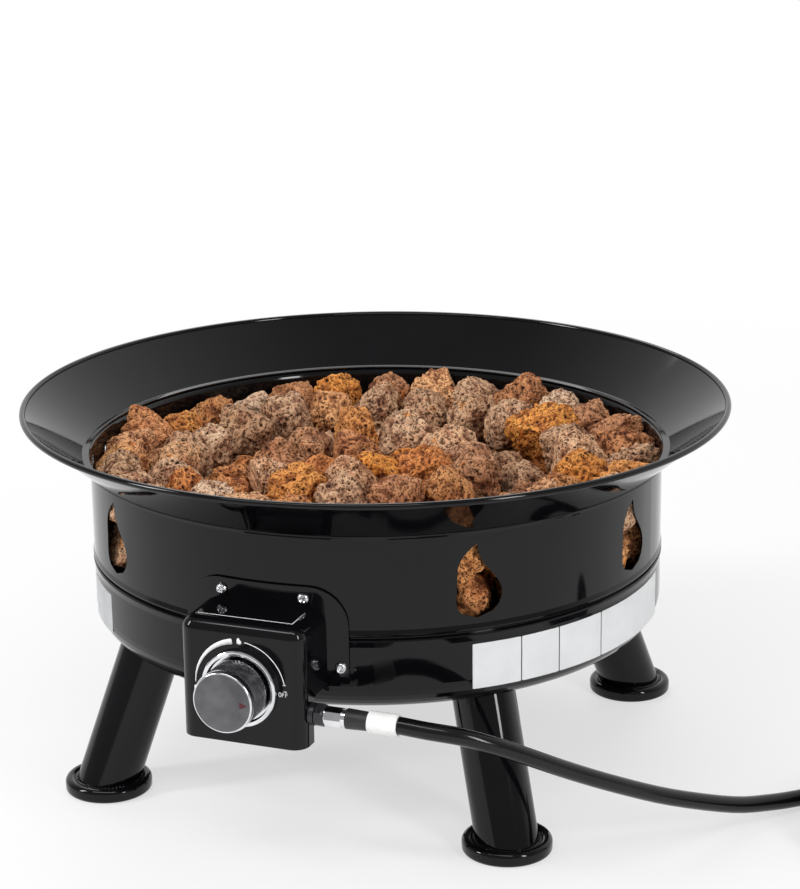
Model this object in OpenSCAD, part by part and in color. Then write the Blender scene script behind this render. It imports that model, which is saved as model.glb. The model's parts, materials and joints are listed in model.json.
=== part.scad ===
// Free-standing gas fire bowl: a flared steel bowl of lava rock on four splayed legs,
// with a knob-operated gas valve in a pressed housing and a hose that ends in a regulator.
// The origin is on the bowl's axis at ground level. +Z is up and the knob faces -Y.

/* [Rim and shell] */
// Outer diameter of the flared rim, over its rolled edge
rim_d = 610; // [580:1:640]
// Height that the flare rises above the shell
flare_h = 43; // [34:1:52]
// Radius of the rolled edge of the rim
hem_r = 2.6; // [2:0.1:4]
// Outer diameter of the shell and of the pan below it
shell_d = 494; // [480:1:510]
// Width of the shell's turned-out lip, which carries the rim
lip_w = 7; // [5:0.5:10]
// Height of the shell, from the hearth plate to its lip
shell_h = 86.3; // [80:0.1:96]
// Thickness of the pressed steel sheet
sheet = 1.2; // [0.8:0.1:1.6]
// Number of places for a vent around the shell; the front one holds the gas control
vent_places = 9; // [7:1:11]
// Height of a flame-shaped vent
vent_h = 62; // [50:1:66]
// Width of a flame-shaped vent
vent_w = 42; // [30:1:48]

/* [Pan and hearth] */
// Height of the pan, from its underside to its top flange
pan_h = 63.2; // [58:0.1:72]
// Radius of the pan's pressed bottom corner
pan_corner = 24; // [16:1:30]
// Width of the inward flanges that clamp the hearth plate
clamp_w = 16; // [12:1:20]
// How far the two rolled beads at the clamp stand out from the wall
bead_out = 1; // [0.5:0.1:1.5]
// Thickness of the hearth plate
hearth_t = 1.5; // [1:0.1:3]
// Number of screws through the clamped flanges
clamp_screws = 8; // [6:1:12]
// Diameter of the drain and air holes in the hearth plate and the pan
drain_d = 9; // [6:0.5:12]

/* [Legs] */
// Height of the pan's underside above the ground
leg_h = 124; // [110:1:140]
// Outer diameter of a leg tube
leg_d = 52; // [46:1:56]
// Wall of a leg tube
leg_wall = 1.6; // [1.2:0.1:2.5]
// Angle of a leg from upright
leg_tilt = 21; // [17:0.5:22]
// Radius of the circle on which the feet stand
feet_r = 255; // [250:1:262]
// Diameter of a foot
foot_d = 74; // [70:1:84]
// Height of a foot's disc
foot_h = 12; // [10:0.5:16]
// Height above the ground at which a leg's axis meets its foot's axis
foot_pivot_z = 8; // [6:0.5:9]
// Diameter of a leg bolt
leg_bolt_d = 6; // [5:0.5:8]

/* [Gas control housing] */
// Width of the housing
box_w = 105; // [98:1:112]
// How far the housing's face stands out from the shell
box_out = 47; // [44:0.5:52]
// Height of the housing's top above the hearth plate
box_rise = 24.3; // [18:0.1:28]
// Height of the housing's face
box_h = 100; // [94:1:106]
// Radius of the housing's rounded edges
box_round = 12; // [8:1:14]
// Height of the side notches that let the gas pipe out
notch_h = 37; // [34:1:40]
// How far the mounting flange reaches past the housing's sides
flange_w = 17; // [15:0.5:20]
// How far the mounting flange reaches above the housing's top
flange_rise = 18; // [16:0.5:22]
// Diameter of a housing screw's head
screw_head_d = 9.5; // [8:0.5:11]

/* [Knob and valve] */
// Height of the knob's axis above the housing's lower edge
knob_rise = 47; // [44:1:50]
// Diameter of the knob
knob_d = 50.6; // [46:0.2:54]
// Length of the knob's fluted barrel
knob_l = 26; // [22:0.5:30]
// Number of flutes around the knob
knob_flutes = 60; // [40:1:80]
// How far the knob is pushed in before it turns
push_travel = 3; // [2:0.5:3.5]
// Outer diameter of the chrome bezel
bezel_d = 63; // [60:0.5:66]
// How far the bezel stands out from the housing
bezel_t = 5; // [4:0.5:5.5]
// Diameter of the valve's stem
stem_d = 8; // [7:0.5:9]
// Running clearance around the stem, on the radius
stem_gap = 0.05; // [0.03:0.01:0.08]
// Outer diameter of the valve's body
valve_d = 26; // [24:0.5:28]

/* [Burner] */
// Radius of the burner ring, to the middle of its tube
burner_r = 110; // [100:1:115]
// Outer diameter of the burner ring's tube
burner_d = 19; // [17:0.5:20]
// Gap between the hearth plate and the burner ring
burner_lift = 6; // [4:0.5:8]
// Number of gas ports around the ring
burner_ports = 24; // [16:1:32]
// Outer diameter of the mixing tube
mixer_d = 22; // [20:0.5:24]
// Straight length of the mixing tube below the burner ring
mixer_rise = 8; // [5:1:12]

/* [Lava rock] */
// Radius of a rock in the lower layer
rock_low_r = 22; // [20:0.5:22]
// Radius of a rock in the upper layer, on average
rock_top_r = 20; // [18:0.5:20.5]
// How much the upper rocks differ in radius, up and down
rock_vary = 0.8; // [0:0.1:1]

/* [Hose and regulator] */
// Outer diameter of the gas hose
hose_d = 14; // [12:0.5:15]
// Radius of the coil's outermost turn, to the middle of the hose
coil_r = 95; // [90:1:100]
// Turns in each layer of the coil
coil_turns = 2.25; // [1.75:0.25:2.5]
// Free space between neighbouring turns
coil_gap = 0.6; // [0.5:0.1:1.5]
// Diameter of the regulator's body
regulator_d = 64; // [58:1:70]
// Diameter of the hand nut that couples the regulator to a gas bottle
nut_d = 45; // [42:1:46]
// Length of the hand nut
nut_l = 32; // [28:1:36]

/* [Hidden] */

$fn = 96;
fine = 24;            // segments of small round things that are still true circles
seat = 0.2;           // clearance where one piece rests on or in another
eps = 0.5;            // how far a cutting body runs past what it cuts

// Heights, from the ground up
pan_top = leg_h + pan_h;
hearth_z = pan_top + hearth_t;
lip_z = hearth_z + shell_h;
rim_z = lip_z + flare_h;

// Radii from the bowl's axis
shell_r = shell_d / 2;
seam_r = shell_r + lip_w;
rim_r = rim_d / 2;
clamp_r = shell_r - clamp_w;
clamp_screw_r = shell_r - clamp_w / 2;
bead_r = 1.6;

// Thickness of the bezel's base, on which the valve's screws bear
bezel_plate = 1;

// ---- Helpers: outlines ----

// Points of an arc about a centre, from one angle to another.
function arc(centre, r, from, to, steps = 6) =
    [for (i = [0:steps]) centre + r * [cos(from + (to - from) * i / steps),
                                       sin(from + (to - from) * i / steps)]];

function unit(v) = v / norm(v);
function left_of(v) = [-v[1], v[0]];

// The direction square to a path of points at one of them, lengthened at a corner
// so that a sheet keeps its thickness there.
function miter(path, i) =
    let (last = len(path) - 1,
         before = i > 0 ? left_of(unit(path[i] - path[i - 1])) : undef,
         after = i < last ? left_of(unit(path[i + 1] - path[i])) : undef)
    i == 0 ? after : i == last ? before : unit(before + after) / cos(angle_between(before, after) / 2);
function angle_between(a, b) = acos(max(-1, min(1, a * b)));

// A sheet of thickness t along a path, on the path's left side.
function sheet_outline(path, t) = concat(
    path,
    [for (i = [len(path) - 1:-1:0]) path[i] + t * miter(path, i)]);

// A rectangle with round corners, centred.
function round_rect(w, h, r, steps = 4) = concat(
    arc([w / 2 - r, h / 2 - r], r, 0, 90, steps),
    arc([r - w / 2, h / 2 - r], r, 90, 180, steps),
    arc([r - w / 2, r - h / 2], r, 180, 270, steps),
    arc([w / 2 - r, r - h / 2], r, 270, 360, steps));

// ---- Helpers: placing ----

// Puts what is modelled along +Z at a height so that it points out of the front, along -Y.
module facing_front(y, z) {
    translate([0, y, z]) rotate([90, 0, 0]) children();
}

// Turns what is modelled at -Y by an angle about the bowl's axis.
module around(angle) {
    rotate([0, 0, angle]) children();
}

// ---- Helpers: tubes along a route ----

function cross_unit(a, b) = unit(cross(a, b));

// The direction of a route at one of its points.
function heading(path, i) =
    unit(path[min(i + 1, len(path) - 1)] - path[max(i - 1, 0)]);

// A ring of points about a route's point, with its first point on the level side.
function ring(path, i, r, sides) =
    let (h = heading(path, i),
         side = cross_unit(h, [0, 0, 1]),
         up = cross_unit(side, h))
    [for (k = [0:sides - 1])
        path[i] + r * (cos(360 * k / sides) * side + sin(360 * k / sides) * up)];

// One closed tube along a route, as triangles.
module tube_along(path, r, sides) {
    rings = len(path);
    points = [for (i = [0:rings - 1]) each ring(path, i, r, sides)];
    walls = [for (i = [0:rings - 2], k = [0:sides - 1])
        let (a = i * sides + k,
             b = i * sides + (k + 1) % sides)
        each [[a, b, a + sides], [b, b + sides, a + sides]]];
    first_end = [for (k = [1:sides - 2]) [0, k + 1, k]];
    start = (rings - 1) * sides;
    last_end = [for (k = [1:sides - 2]) [start, start + k, start + k + 1]];
    polyhedron(points, concat(walls, first_end, last_end), convexity = 10);
}

// A point on the curve through four route points, at t from the second to the third.
function spline_point(a, b, c, d, t) =
    0.5 * (2 * b + (c - a) * t + (2 * a - 5 * b + 4 * c - d) * t * t
           + (3 * b - a - 3 * c + d) * t * t * t);

// A smooth route through chosen points, with a number of steps between each two.
function smooth_route(p, steps) =
    let (n = len(p) - 1)
    concat([for (i = [0:n - 1], s = [0:steps - 1])
        spline_point(p[max(i - 1, 0)], p[i], p[i + 1], p[min(i + 2, n)], s / steps)],
        [p[n]]);

// ---- Rim, shell, hearth and pan ----

module rim_ring() {
    hem = [rim_r - hem_r, rim_z - hem_r];
    seat_in = shell_r + 1;
    cone_foot = [seam_r, lip_z + seat];
    color("#101012") {
        rotate_extrude()
            polygon(sheet_outline([[seat_in, cone_foot[1]], cone_foot, hem], sheet));
        rotate_extrude()
            translate(hem) circle(hem_r, $fn = fine);
    }
}

// The outline of a plain candle flame: it swells low down and leans as it narrows.
function flame_half(t) = vent_w / 2 * pow(sin(180 * pow(t, 0.62)), 0.8) * (1 - 0.25 * t);
function flame_lean(t) = vent_w * 0.16 * sin(360 * t) * t;
flame_steps = 14;
flame_outline = concat(
    [[0, -vent_h / 2]],
    [for (i = [1:flame_steps - 1]) let (t = i / flame_steps)
        [flame_lean(t) + flame_half(t), vent_h * (t - 0.5)]],
    [[0, vent_h / 2]],
    [for (i = [flame_steps - 1:-1:1]) let (t = i / flame_steps)
        [flame_lean(t) - flame_half(t), vent_h * (t - 0.5)]]);
vent_z = hearth_z + 0.49 * shell_h;

module upper_shell() {
    lip_bend = 5;
    out_r = shell_r + bead_out;
    path = concat(
        [[clamp_r, hearth_z + sheet]],
        arc([out_r - sheet - bead_r, hearth_z + sheet + bead_r], bead_r, -90, 0, 4),
        [[shell_r - sheet, hearth_z + 4 * bead_r]],
        arc([shell_r + lip_bend, lip_z - sheet - lip_bend], lip_bend + sheet, 180, 90, 6),
        [[seam_r, lip_z]]);
    color("#0d0d0f") difference() {
        rotate_extrude()
            polygon(sheet_outline(path, -sheet));
        for (i = [1:vent_places - 1])
            around(i * 360 / vent_places)
                translate([0, sheet * 8 - shell_r, vent_z])
                    rotate([90, 0, 0])
                        linear_extrude(sheet * 16) polygon(flame_outline);
        clamp_screw_holes(hearth_z);
        housing_screw_holes(upper_screws);
    }
}

module clamp_screw_holes(z) {
    for (i = [0:clamp_screws - 1])
        around((i + 0.5) * 360 / clamp_screws)
            translate([0, -clamp_screw_r, z - 3]) cylinder(d = 5.4, h = 6, $fn = fine);
}

module hearth_plate() {
    inner_holes = 6;
    outer_holes = 14;
    color("#2a2a2c") difference() {
        translate([0, 0, pan_top]) cylinder(r = shell_r - 2, h = hearth_t);
        translate([0, -burner_r, pan_top - eps]) cylinder(d = mixer_d + 3, h = hearth_t + 2 * eps);
        for (i = [0:inner_holes - 1])
            around((i + 0.5) * 360 / inner_holes)
                translate([0, -0.55 * burner_r, pan_top - eps])
                    cylinder(d = drain_d, h = hearth_t + 2 * eps, $fn = fine);
        for (i = [0:outer_holes - 1])
            around(i * 360 / outer_holes)
                translate([0, -1.65 * burner_r, pan_top - eps])
                    cylinder(d = drain_d, h = hearth_t + 2 * eps, $fn = fine);
        clamp_screw_holes(pan_top);
        for (i = [0:2])
            around(bracket_turn + i * 120)
                for (side = [-1, 1])
                    translate([0, -burner_r + side * bracket_hole, pan_top - eps])
                        cylinder(d = 4.4, h = hearth_t + 2 * eps, $fn = fine);
    }
}

// The pan's outer face as a path from its top flange's bend down to the middle.
pan_path = concat(
    arc([shell_r + bead_out - bead_r, pan_top - bead_r], bead_r, 90, 0, 4),
    [[shell_r, pan_top - 4 * bead_r]],
    arc([shell_r - pan_corner, leg_h + pan_corner], pan_corner, 0, -90, 8));

module base_pan() {
    drains = 8;
    color("#0d0d0f") difference() {
        rotate_extrude()
            polygon(sheet_outline(concat([[clamp_r, pan_top]], pan_path, [[6, leg_h]]), -sheet));
        translate([0, -shell_r + 20, valve_z]) rotate([90, 0, 0]) cylinder(d = mixer_d + 1, h = 40);
        clamp_screw_holes(pan_top);
        housing_screw_holes(lower_screws);
        for (i = [0:drains - 1])
            around((i + 0.5) * 360 / drains)
                translate([0, -0.8 * burner_r, leg_h - eps])
                    cylinder(d = drain_d, h = sheet + 2 * eps, $fn = fine);
        for (a = leg_angles) around(a) leg_bolt_holes();
    }
}

module clamp_screws() {
    top = hearth_z + sheet + seat;
    bottom = pan_top - sheet - seat;
    color("#8c8c90")
        for (i = [0:clamp_screws - 1])
            around((i + 0.5) * 360 / clamp_screws)
                translate([0, -clamp_screw_r, 0]) {
                    translate([0, 0, bottom - 5]) cylinder(d = 5, h = top - bottom + 5.5, $fn = fine);
                    translate([0, 0, top]) cylinder(d = 9, h = 3, $fn = fine);
                    translate([0, 0, bottom - 4]) cylinder(d = 9, h = 4, $fn = 6);
                }
}

// ---- Burner ----

burner_z = hearth_z + burner_lift + burner_d / 2;
bracket_hole = burner_d / 2 + 5;
bracket_turn = 60;
bracket_t = 2;
socket_d = mixer_d + 5;
socket_top = burner_z - burner_d / 2 + 2;

// A ring of tube with ports on top and a socket underneath for the mixing tube.
module burner_ring() {
    bore_r = burner_d / 2 - 1.5;
    color("#55565a") difference() {
        union() {
            rotate_extrude() translate([burner_r, burner_z]) circle(burner_d / 2, $fn = 48);
            translate([0, -burner_r, hearth_z + seat])
                cylinder(d = socket_d, h = burner_z - hearth_z - seat);
        }
        rotate_extrude() translate([burner_r, burner_z]) circle(bore_r, $fn = 48);
        translate([0, -burner_r, hearth_z]) cylinder(d = mixer_d + 2 * seat, h = socket_top - hearth_z);
        translate([0, -burner_r, hearth_z]) cylinder(d = 12, h = burner_z - hearth_z);
        for (i = [0:burner_ports - 1])
            around((i + 0.5) * 360 / burner_ports)
                translate([0, -burner_r, burner_z + 1]) cylinder(d = 2.6, h = burner_d, $fn = fine);
    }
}

// Cradles under the ring, each with two feet on the hearth plate.
module burner_brackets() {
    reach = bracket_hole + 4.5;
    cradle = burner_d / 2 - 2;
    color("#77787c")
        for (i = [0:2])
            around(bracket_turn + i * 120)
                translate([0, -burner_r, hearth_z + seat])
                    rotate([90, 0, 90]) translate([0, 0, -7]) difference() {
                        linear_extrude(14) difference() {
                            union() {
                                translate([-reach, 0]) square([2 * reach, bracket_t]);
                                translate([-cradle, 0]) square([2 * cradle, burner_lift + 4]);
                            }
                            translate([0, burner_z - hearth_z - seat])
                                circle(burner_d / 2 + seat, $fn = 48);
                        }
                        for (side = [-1, 1])
                            translate([side * bracket_hole, -eps, 7]) rotate([-90, 0, 0])
                                cylinder(d = 4.4, h = bracket_t + 2 * eps, $fn = fine);
                    }
}

module burner_screws() {
    top = hearth_z + bracket_t + 2 * seat;
    bottom = pan_top - seat;
    color("#8c8c90")
        for (i = [0:2], side = [-1, 1])
            around(bracket_turn + i * 120)
                translate([0, -burner_r + side * bracket_hole, 0]) {
                    translate([0, 0, top]) cylinder(d = 7, h = 2.5, $fn = fine);
                    translate([0, 0, bottom - 4]) cylinder(d = 4, h = top - bottom + 4.5, $fn = fine);
                    translate([0, 0, bottom - 3.2]) cylinder(d = 7.5, h = 3.2, $fn = 6);
                }
}

valve_z = hearth_z + box_rise - box_h + knob_rise;
mixer_start = -(shell_r + 15);
mixer_bend = socket_top - seat - mixer_rise - valve_z;
bend_y = -burner_r - mixer_bend;

module mixer_tube() {
    wall = 1.5;
    run = bend_y - mixer_start;
    color("#6a6b70") difference() {
        mixer_solid(mixer_d / 2, run, 0);
        mixer_solid(mixer_d / 2 - wall, run, eps);
        for (i = [0, 1])
            translate([0, mixer_start + 6, valve_z]) rotate([0, 90 * i, 0])
                cube([9, 6, mixer_d + 4], center = true);
    }
}

// The level run, a quarter bend and the riser.
module mixer_solid(r, run, past) {
    facing_front(bend_y, valve_z) cylinder(r = r, h = run + past);
    translate([0, bend_y, valve_z + mixer_bend]) rotate([0, 90, 0])
        rotate_extrude(angle = 90) translate([mixer_bend, 0]) circle(r, $fn = 48);
    translate([0, -burner_r, valve_z + mixer_bend]) cylinder(r = r, h = mixer_rise + past);
}

// A loose collar that covers more or less of the tube's air windows.
module air_shutter() {
    wall = 1.5;
    length = 8;
    color("#9a9ba0") difference() {
        facing_front(mixer_start + 6 + length / 2, valve_z)
            cylinder(r = mixer_d / 2 + seat + wall, h = length);
        facing_front(mixer_start + 6 + length / 2 + eps, valve_z)
            cylinder(r = mixer_d / 2 + seat, h = length + 2 * eps);
        translate([0, mixer_start + 6, valve_z]) rotate([0, 45, 0])
            cube([5, 4, mixer_d + 8], center = true);
    }
}

// ---- Gas valve ----

front_y = -(shell_r + box_out);
panel_back = front_y + sheet;
valve_l = 24;
valve_back = panel_back + seat + valve_l;
cavity_r = stem_d / 2 + 4;
cavity_l = 15;
inlet_y = valve_back - 9;
inlet_z = valve_z - 21;
inlet_d = 15;
valve_ear = 17;

module valve_body() {
    ear_t = 4;
    color("#b9a26a") difference() {
        union() {
            facing_front(valve_back, valve_z) cylinder(d = valve_d, h = valve_l);
            facing_front(panel_back + seat + ear_t, valve_z)
                linear_extrude(ear_t) polygon(round_rect(2 * valve_ear + 10, 12, 5));
            facing_front(valve_back + 4, valve_z) cylinder(d = 14, h = 6);
            translate([0, inlet_y, inlet_z + 8]) cylinder(d = 16, h = valve_z - inlet_z - 8);
        }
        facing_front(panel_back + seat + cavity_l, valve_z) cylinder(r = cavity_r, h = cavity_l + eps);
        facing_front(valve_back + 4 + eps, valve_z) cylinder(d = 6.2, h = 12);
        translate([0, inlet_y, inlet_z + 8 - eps]) cylinder(d = 9, h = valve_z - inlet_z - 4);
        for (side = [-1, 1])
            facing_front(panel_back + ear_t + 2, valve_z)
                translate([side * valve_ear, 0, -eps]) cylinder(d = 3.4, h = ear_t + 3, $fn = fine);
    }
}

module valve_screws() {
    head_y = front_y - bezel_plate - 2 * seat;
    color("#b5b6ba")
        for (side = [-1, 1])
            translate([side * valve_ear, 0, 0]) {
                facing_front(head_y, valve_z) cylinder(d = 6.4, h = 2.2, $fn = fine);
                facing_front(panel_back + seat + 4, valve_z)
                    cylinder(d = 3.2, h = panel_back + seat + 4 - head_y, $fn = fine);
            }
}

module gas_orifice() {
    start = valve_back + 4 + seat;
    color("#c8a24a") difference() {
        union() {
            facing_front(start, valve_z) cylinder(d = 6, h = 8);
            facing_front(start + 2, valve_z) cylinder(d = 10, h = 2, $fn = 6);
            facing_front(start + 5, valve_z) cylinder(d1 = 4, d2 = 7, h = 3);
        }
        facing_front(start + 5 + eps, valve_z) cylinder(d = 1.6, h = 16, $fn = fine);
    }
}

knob_back = front_y - bezel_plate - push_travel - 1.2;
stem_tip = knob_back - knob_l + 6;
collar_y = panel_back + seat + 2.5;
collar_t = 2.5;

// The stem's front end has a flat, so that the knob can't slip on it.
module stem_shape(gap) {
    difference() {
        circle(stem_d / 2 + gap);
        translate([-stem_d, stem_d / 2 - 1.5 + gap]) square([2 * stem_d, stem_d]);
    }
}

module valve_stem() {
    flat_l = knob_l - 5;
    back = collar_y + collar_t + 5;
    color("#c4c5c9") {
        facing_front(back, valve_z) cylinder(d = stem_d, h = back - stem_tip - flat_l);
        facing_front(stem_tip + flat_l, valve_z) linear_extrude(flat_l) stem_shape(0);
        facing_front(collar_y - seat, valve_z) cylinder(d = stem_d + 4, h = 2);
    }
}

module push_collar() {
    color("#d8d2b0") facing_front(collar_y + collar_t, valve_z) difference() {
        cylinder(r = cavity_r - 0.3, h = collar_t);
        translate([0, 0, -eps]) cylinder(r = stem_d / 2 + stem_gap, h = collar_t + 2 * eps);
    }
}

module stem_spring() {
    wire = 0.9;
    curls = 3;
    room = panel_back + seat + cavity_l - push_travel - 0.4;
    from = collar_y + collar_t + seat + wire / 2;
    turn_r = stem_d / 2 + 1.8;
    steps = 12;
    path = [for (i = [0:curls * steps])
        [turn_r * cos(360 * i / steps),
         from + (room - wire / 2 - from) * i / (curls * steps),
         valve_z + turn_r * sin(360 * i / steps)]];
    color("#a8a9ad") wire_along(path, wire / 2, 6);
}

// A closed tube about the Y axis, whose rings stand square to the wire.
module wire_along(path, r, sides) {
    turned = [for (p = path) [p[0], -(p[2] - valve_z), p[1]]];
    translate([0, 0, valve_z]) rotate([-90, 0, 0]) tube_along(turned, r, sides);
}

// ---- Control housing ----

box_top = hearth_z + box_rise;
box_bottom = box_top - box_h;
flange_gap = bead_out + 0.4;
flange_r = shell_r + flange_gap;
flange_half = box_w / 2 + flange_w;
flange_bottom = box_bottom + notch_h + 1;
flange_top = box_top + flange_rise;
upper_screws = [box_w / 2 - 18, flange_top - 9.5];
lower_screws = [box_w / 2 + flange_w - 7, flange_bottom + 14];

// Angle about the bowl's axis at which a housing screw stands, from its distance to the side.
function screw_angle(at) = asin(at[0] / shell_r);

module housing_screw_holes(at) {
    for (side = [-1, 1])
        around(side * screw_angle(at))
            facing_front(-shell_r + 12, at[1]) cylinder(d = 5.4, h = 24, $fn = fine);
}

// The housing's pressed form: round edges all over, and reaching back into the shell.
module pressed_box(inset) {
    r = box_round - inset;
    w = box_w / 2 - box_round;
    front = front_y + box_round;
    top = box_top - box_round;
    low = box_bottom - (inset > 0 ? eps : 0);
    back = -shell_r + 14;
    hull() {
        for (side = [-1, 1]) {
            translate([side * w, front, top]) sphere(r, $fn = 32);
            translate([side * w, front, low]) cylinder(r = r, h = 1, $fn = 32);
            translate([side * w, back, top]) rotate([90, 0, 0]) cylinder(r = r, h = 1, $fn = 32);
            translate([side * (w + r) - 0.5, back - 1, low]) cube([1, 1, 1]);
        }
    }
}

module housing_flange() {
    corner = 32;
    outline = concat(
        [[flange_half, flange_bottom]],
        arc([flange_half - corner, flange_top - corner], corner, 0, 90, 8),
        arc([corner - flange_half, flange_top - corner], corner, 90, 180, 8),
        [[-flange_half, flange_bottom]]);
    intersection() {
        facing_front(-shell_r + 30, 0) linear_extrude(60) polygon(outline);
        difference() {
            translate([0, 0, flange_bottom]) cylinder(r = flange_r + sheet, h = flange_top - flange_bottom);
            translate([0, 0, flange_bottom - eps])
                cylinder(r = flange_r, h = flange_top - flange_bottom + 2 * eps);
        }
    }
}

module control_housing() {
    strip = 9;
    color("#0e0e10") difference() {
        union() {
            difference() {
                pressed_box(0);
                translate([0, 0, box_bottom - eps]) cylinder(r = flange_r, h = box_h + 2 * eps);
            }
            housing_flange();
        }
        pressed_box(sheet);
        translate([-box_w, front_y + box_round + strip, box_bottom - eps])
            cube([2 * box_w, box_out, flange_bottom - box_bottom - 8 + eps]);
        translate([-box_w, front_y + box_round + strip + 8, box_bottom])
            cube([2 * box_w, box_out, flange_bottom - box_bottom]);
        translate([-box_w, front_y + box_round + strip + 8, flange_bottom - 8])
            rotate([0, 90, 0]) cylinder(r = 8, h = 2 * box_w);
        facing_front(panel_back + eps, valve_z) cylinder(d = stem_d + 6, h = sheet + 2 * eps);
        for (side = [-1, 1])
            facing_front(panel_back + eps, valve_z)
                translate([side * valve_ear, 0, 0]) cylinder(d = 3.6, h = sheet + 2 * eps, $fn = fine);
        housing_screw_holes(upper_screws);
        housing_screw_holes(lower_screws);
        along_inlet(box_w / 4) cylinder(d = inlet_d + 1, h = box_w / 2);
    }
}

module housing_screws() {
    head_r = flange_r + sheet + seat;
    nut_t = 2.4;
    color("#c9cace")
        for (at = [upper_screws, lower_screws], side = [-1, 1])
            around(side * screw_angle(at)) {
                facing_front(-head_r, at[1]) pan_head(screw_head_d, 3.2);
                facing_front(sheet + seat + nut_t + 0.6 - shell_r, at[1])
                    cylinder(d = 5, h = head_r - shell_r + sheet + nut_t + 2, $fn = fine);
                facing_front(sheet + seat + nut_t - shell_r, at[1]) cylinder(d = 9, h = nut_t, $fn = 6);
            }
}

// A screw head that is flat underneath and domed on top.
module pan_head(d, h) {
    rotate_extrude($fn = 48)
        polygon(concat([[0, 0], [d / 2, 0]], arc([d / 2 - h, 0.2], h - 0.2, 0, 90, 4), [[0, h]]));
}

// ---- Knob ----

module knob_bezel() {
    r = bezel_d / 2;
    inner = r - 4.5;
    base = front_y - seat;
    color("#c8c9cd") facing_front(base, valve_z) difference() {
        rotate_extrude() polygon(concat(
            [[stem_d / 2 + 3, 0], [r, 0]],
            arc([r - 2, bezel_t - 2], 2, 0, 90, 4),
            [[inner + 1, bezel_t], [inner, bezel_plate], [stem_d / 2 + 3, bezel_plate]]));
        for (side = [-1, 1])
            translate([side * valve_ear, 0, -eps])
                cylinder(d = 3.6, h = bezel_plate + 2 * eps, $fn = fine);
    }
}

function fluted(r, deep, count) =
    [for (i = [0:count - 1], s = [0:3])
        let (a = 360 * (i + s / 4) / count,
             q = s < 2 ? r : r - deep)
        [q * cos(a), q * sin(a)]];

ring_groove = 1.6;

module knob_body() {
    r = knob_d / 2;
    wall = 2.6;
    front_wall = 4;
    hub = stem_d / 2 + 3;
    groove_r = r - 1;
    color("#3c3d40") facing_front(knob_back, valve_z) difference() {
        union() {
            cylinder(r = groove_r, h = knob_l);
            translate([0, 0, ring_groove + 1])
                linear_extrude(knob_l - 2 * ring_groove - 2) polygon(fluted(r - 0.2, 0.5, knob_flutes));
        }
        difference() {
            translate([0, 0, -eps]) cylinder(r = groove_r - wall, h = knob_l - front_wall + eps);
            translate([0, 0, -2 * eps]) cylinder(r = hub, h = knob_l);
        }
        translate([0, 0, -eps])
            linear_extrude(knob_back - stem_tip + 2 * eps) stem_shape(stem_gap);
    }
}

// Two thin bright rings, one at each end of the barrel.
module knob_rings() {
    r = knob_d / 2;
    color("#d0d1d5") facing_front(knob_back, valve_z)
        for (z = [1 - seat, knob_l - ring_groove - 1 + seat])
            translate([0, 0, z]) difference() {
                cylinder(r = r, h = ring_groove);
                translate([0, 0, -eps]) cylinder(r = r - 1 + 0.1, h = ring_groove + 2 * eps);
            }
}

module knob_cap() {
    r = knob_d / 2 - 0.6;
    thick = 2.4;
    color("#9d9ea2") facing_front(knob_back - knob_l - seat, valve_z)
        rotate_extrude() polygon(concat(
            [[0, 0], [r, 0]],
            arc([r - 1.2, thick - 1.2], 1.2, 0, 90, 4),
            [[0, thick]]));
}

// ---- Gas inlet and hose fittings ----

ferrule_x = 65;
ferrule_l = 18;
sleeve_l = 18;
tag_l = 24;
hose_x = ferrule_x + ferrule_l + sleeve_l;
nut_x = 57;

// Turns what is modelled along +Z so that it lies along +X at the gas inlet.
module along_inlet(x) {
    translate([x, inlet_y, inlet_z]) rotate([0, 90, 0]) children();
}

module inlet_elbow() {
    d = inlet_d;
    color("#1a1a1c") difference() {
        union() {
            translate([0, inlet_y, inlet_z]) cylinder(d = d, h = 8 - seat);
            translate([0, inlet_y, inlet_z]) sphere(d = d);
            along_inlet(0) cylinder(d = d, h = nut_x - seat);
            along_inlet(box_w / 2 + seat)
                cylinder(d = 18, h = nut_x - box_w / 2 - 2 * seat);
        }
        translate([0, inlet_y, inlet_z]) cylinder(d = 8, h = 9);
        along_inlet(0) cylinder(d = 8, h = nut_x + eps);
    }
}

// A swivel nut, with its corners chamfered.
module inlet_nut() {
    across = 17;
    color("#26262a") along_inlet(nut_x) difference() {
        intersection() {
            linear_extrude(ferrule_x - nut_x - seat) circle(across / 2 / cos(30), $fn = 6);
            rotate_extrude() polygon([
                [0, 0], [across / 2 - 0.5, 0], [across / 2 + 1.5, 1.5],
                [across / 2 + 1.5, ferrule_x - nut_x - 2], [across / 2 - 0.5, ferrule_x - nut_x],
                [0, ferrule_x - nut_x]]);
        }
        translate([0, 0, -eps]) cylinder(d = 8, h = 20);
    }
}

module hose_ferrule() {
    color("#d5d6da") along_inlet(ferrule_x) difference() {
        union() {
            cylinder(d = hose_d + 0.6, h = ferrule_l - seat);
            translate([0, 0, 1]) linear_extrude(ferrule_l * 0.75) circle(d = hose_d + 2.6, $fn = 8);
        }
        translate([0, 0, -eps]) cylinder(d = 8, h = ferrule_l + 2 * eps);
    }
}

// The strain relief, which narrows towards the hose.
module hose_sleeve() {
    color("#17171a") along_inlet(ferrule_x + ferrule_l) difference() {
        cylinder(d1 = hose_d + 2.4, d2 = hose_d + 1, h = sleeve_l - seat);
        translate([0, 0, -eps]) cylinder(d = 8, h = sleeve_l + 2 * eps);
    }
}

module hose_tag() {
    color("#f2f2f0") along_inlet(hose_x + 0.5) difference() {
        cylinder(d = hose_d + 3.6, h = tag_l);
        translate([0, 0, -eps]) cylinder(d = hose_d + 0.4, h = tag_l + 2 * eps);
    }
}

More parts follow.
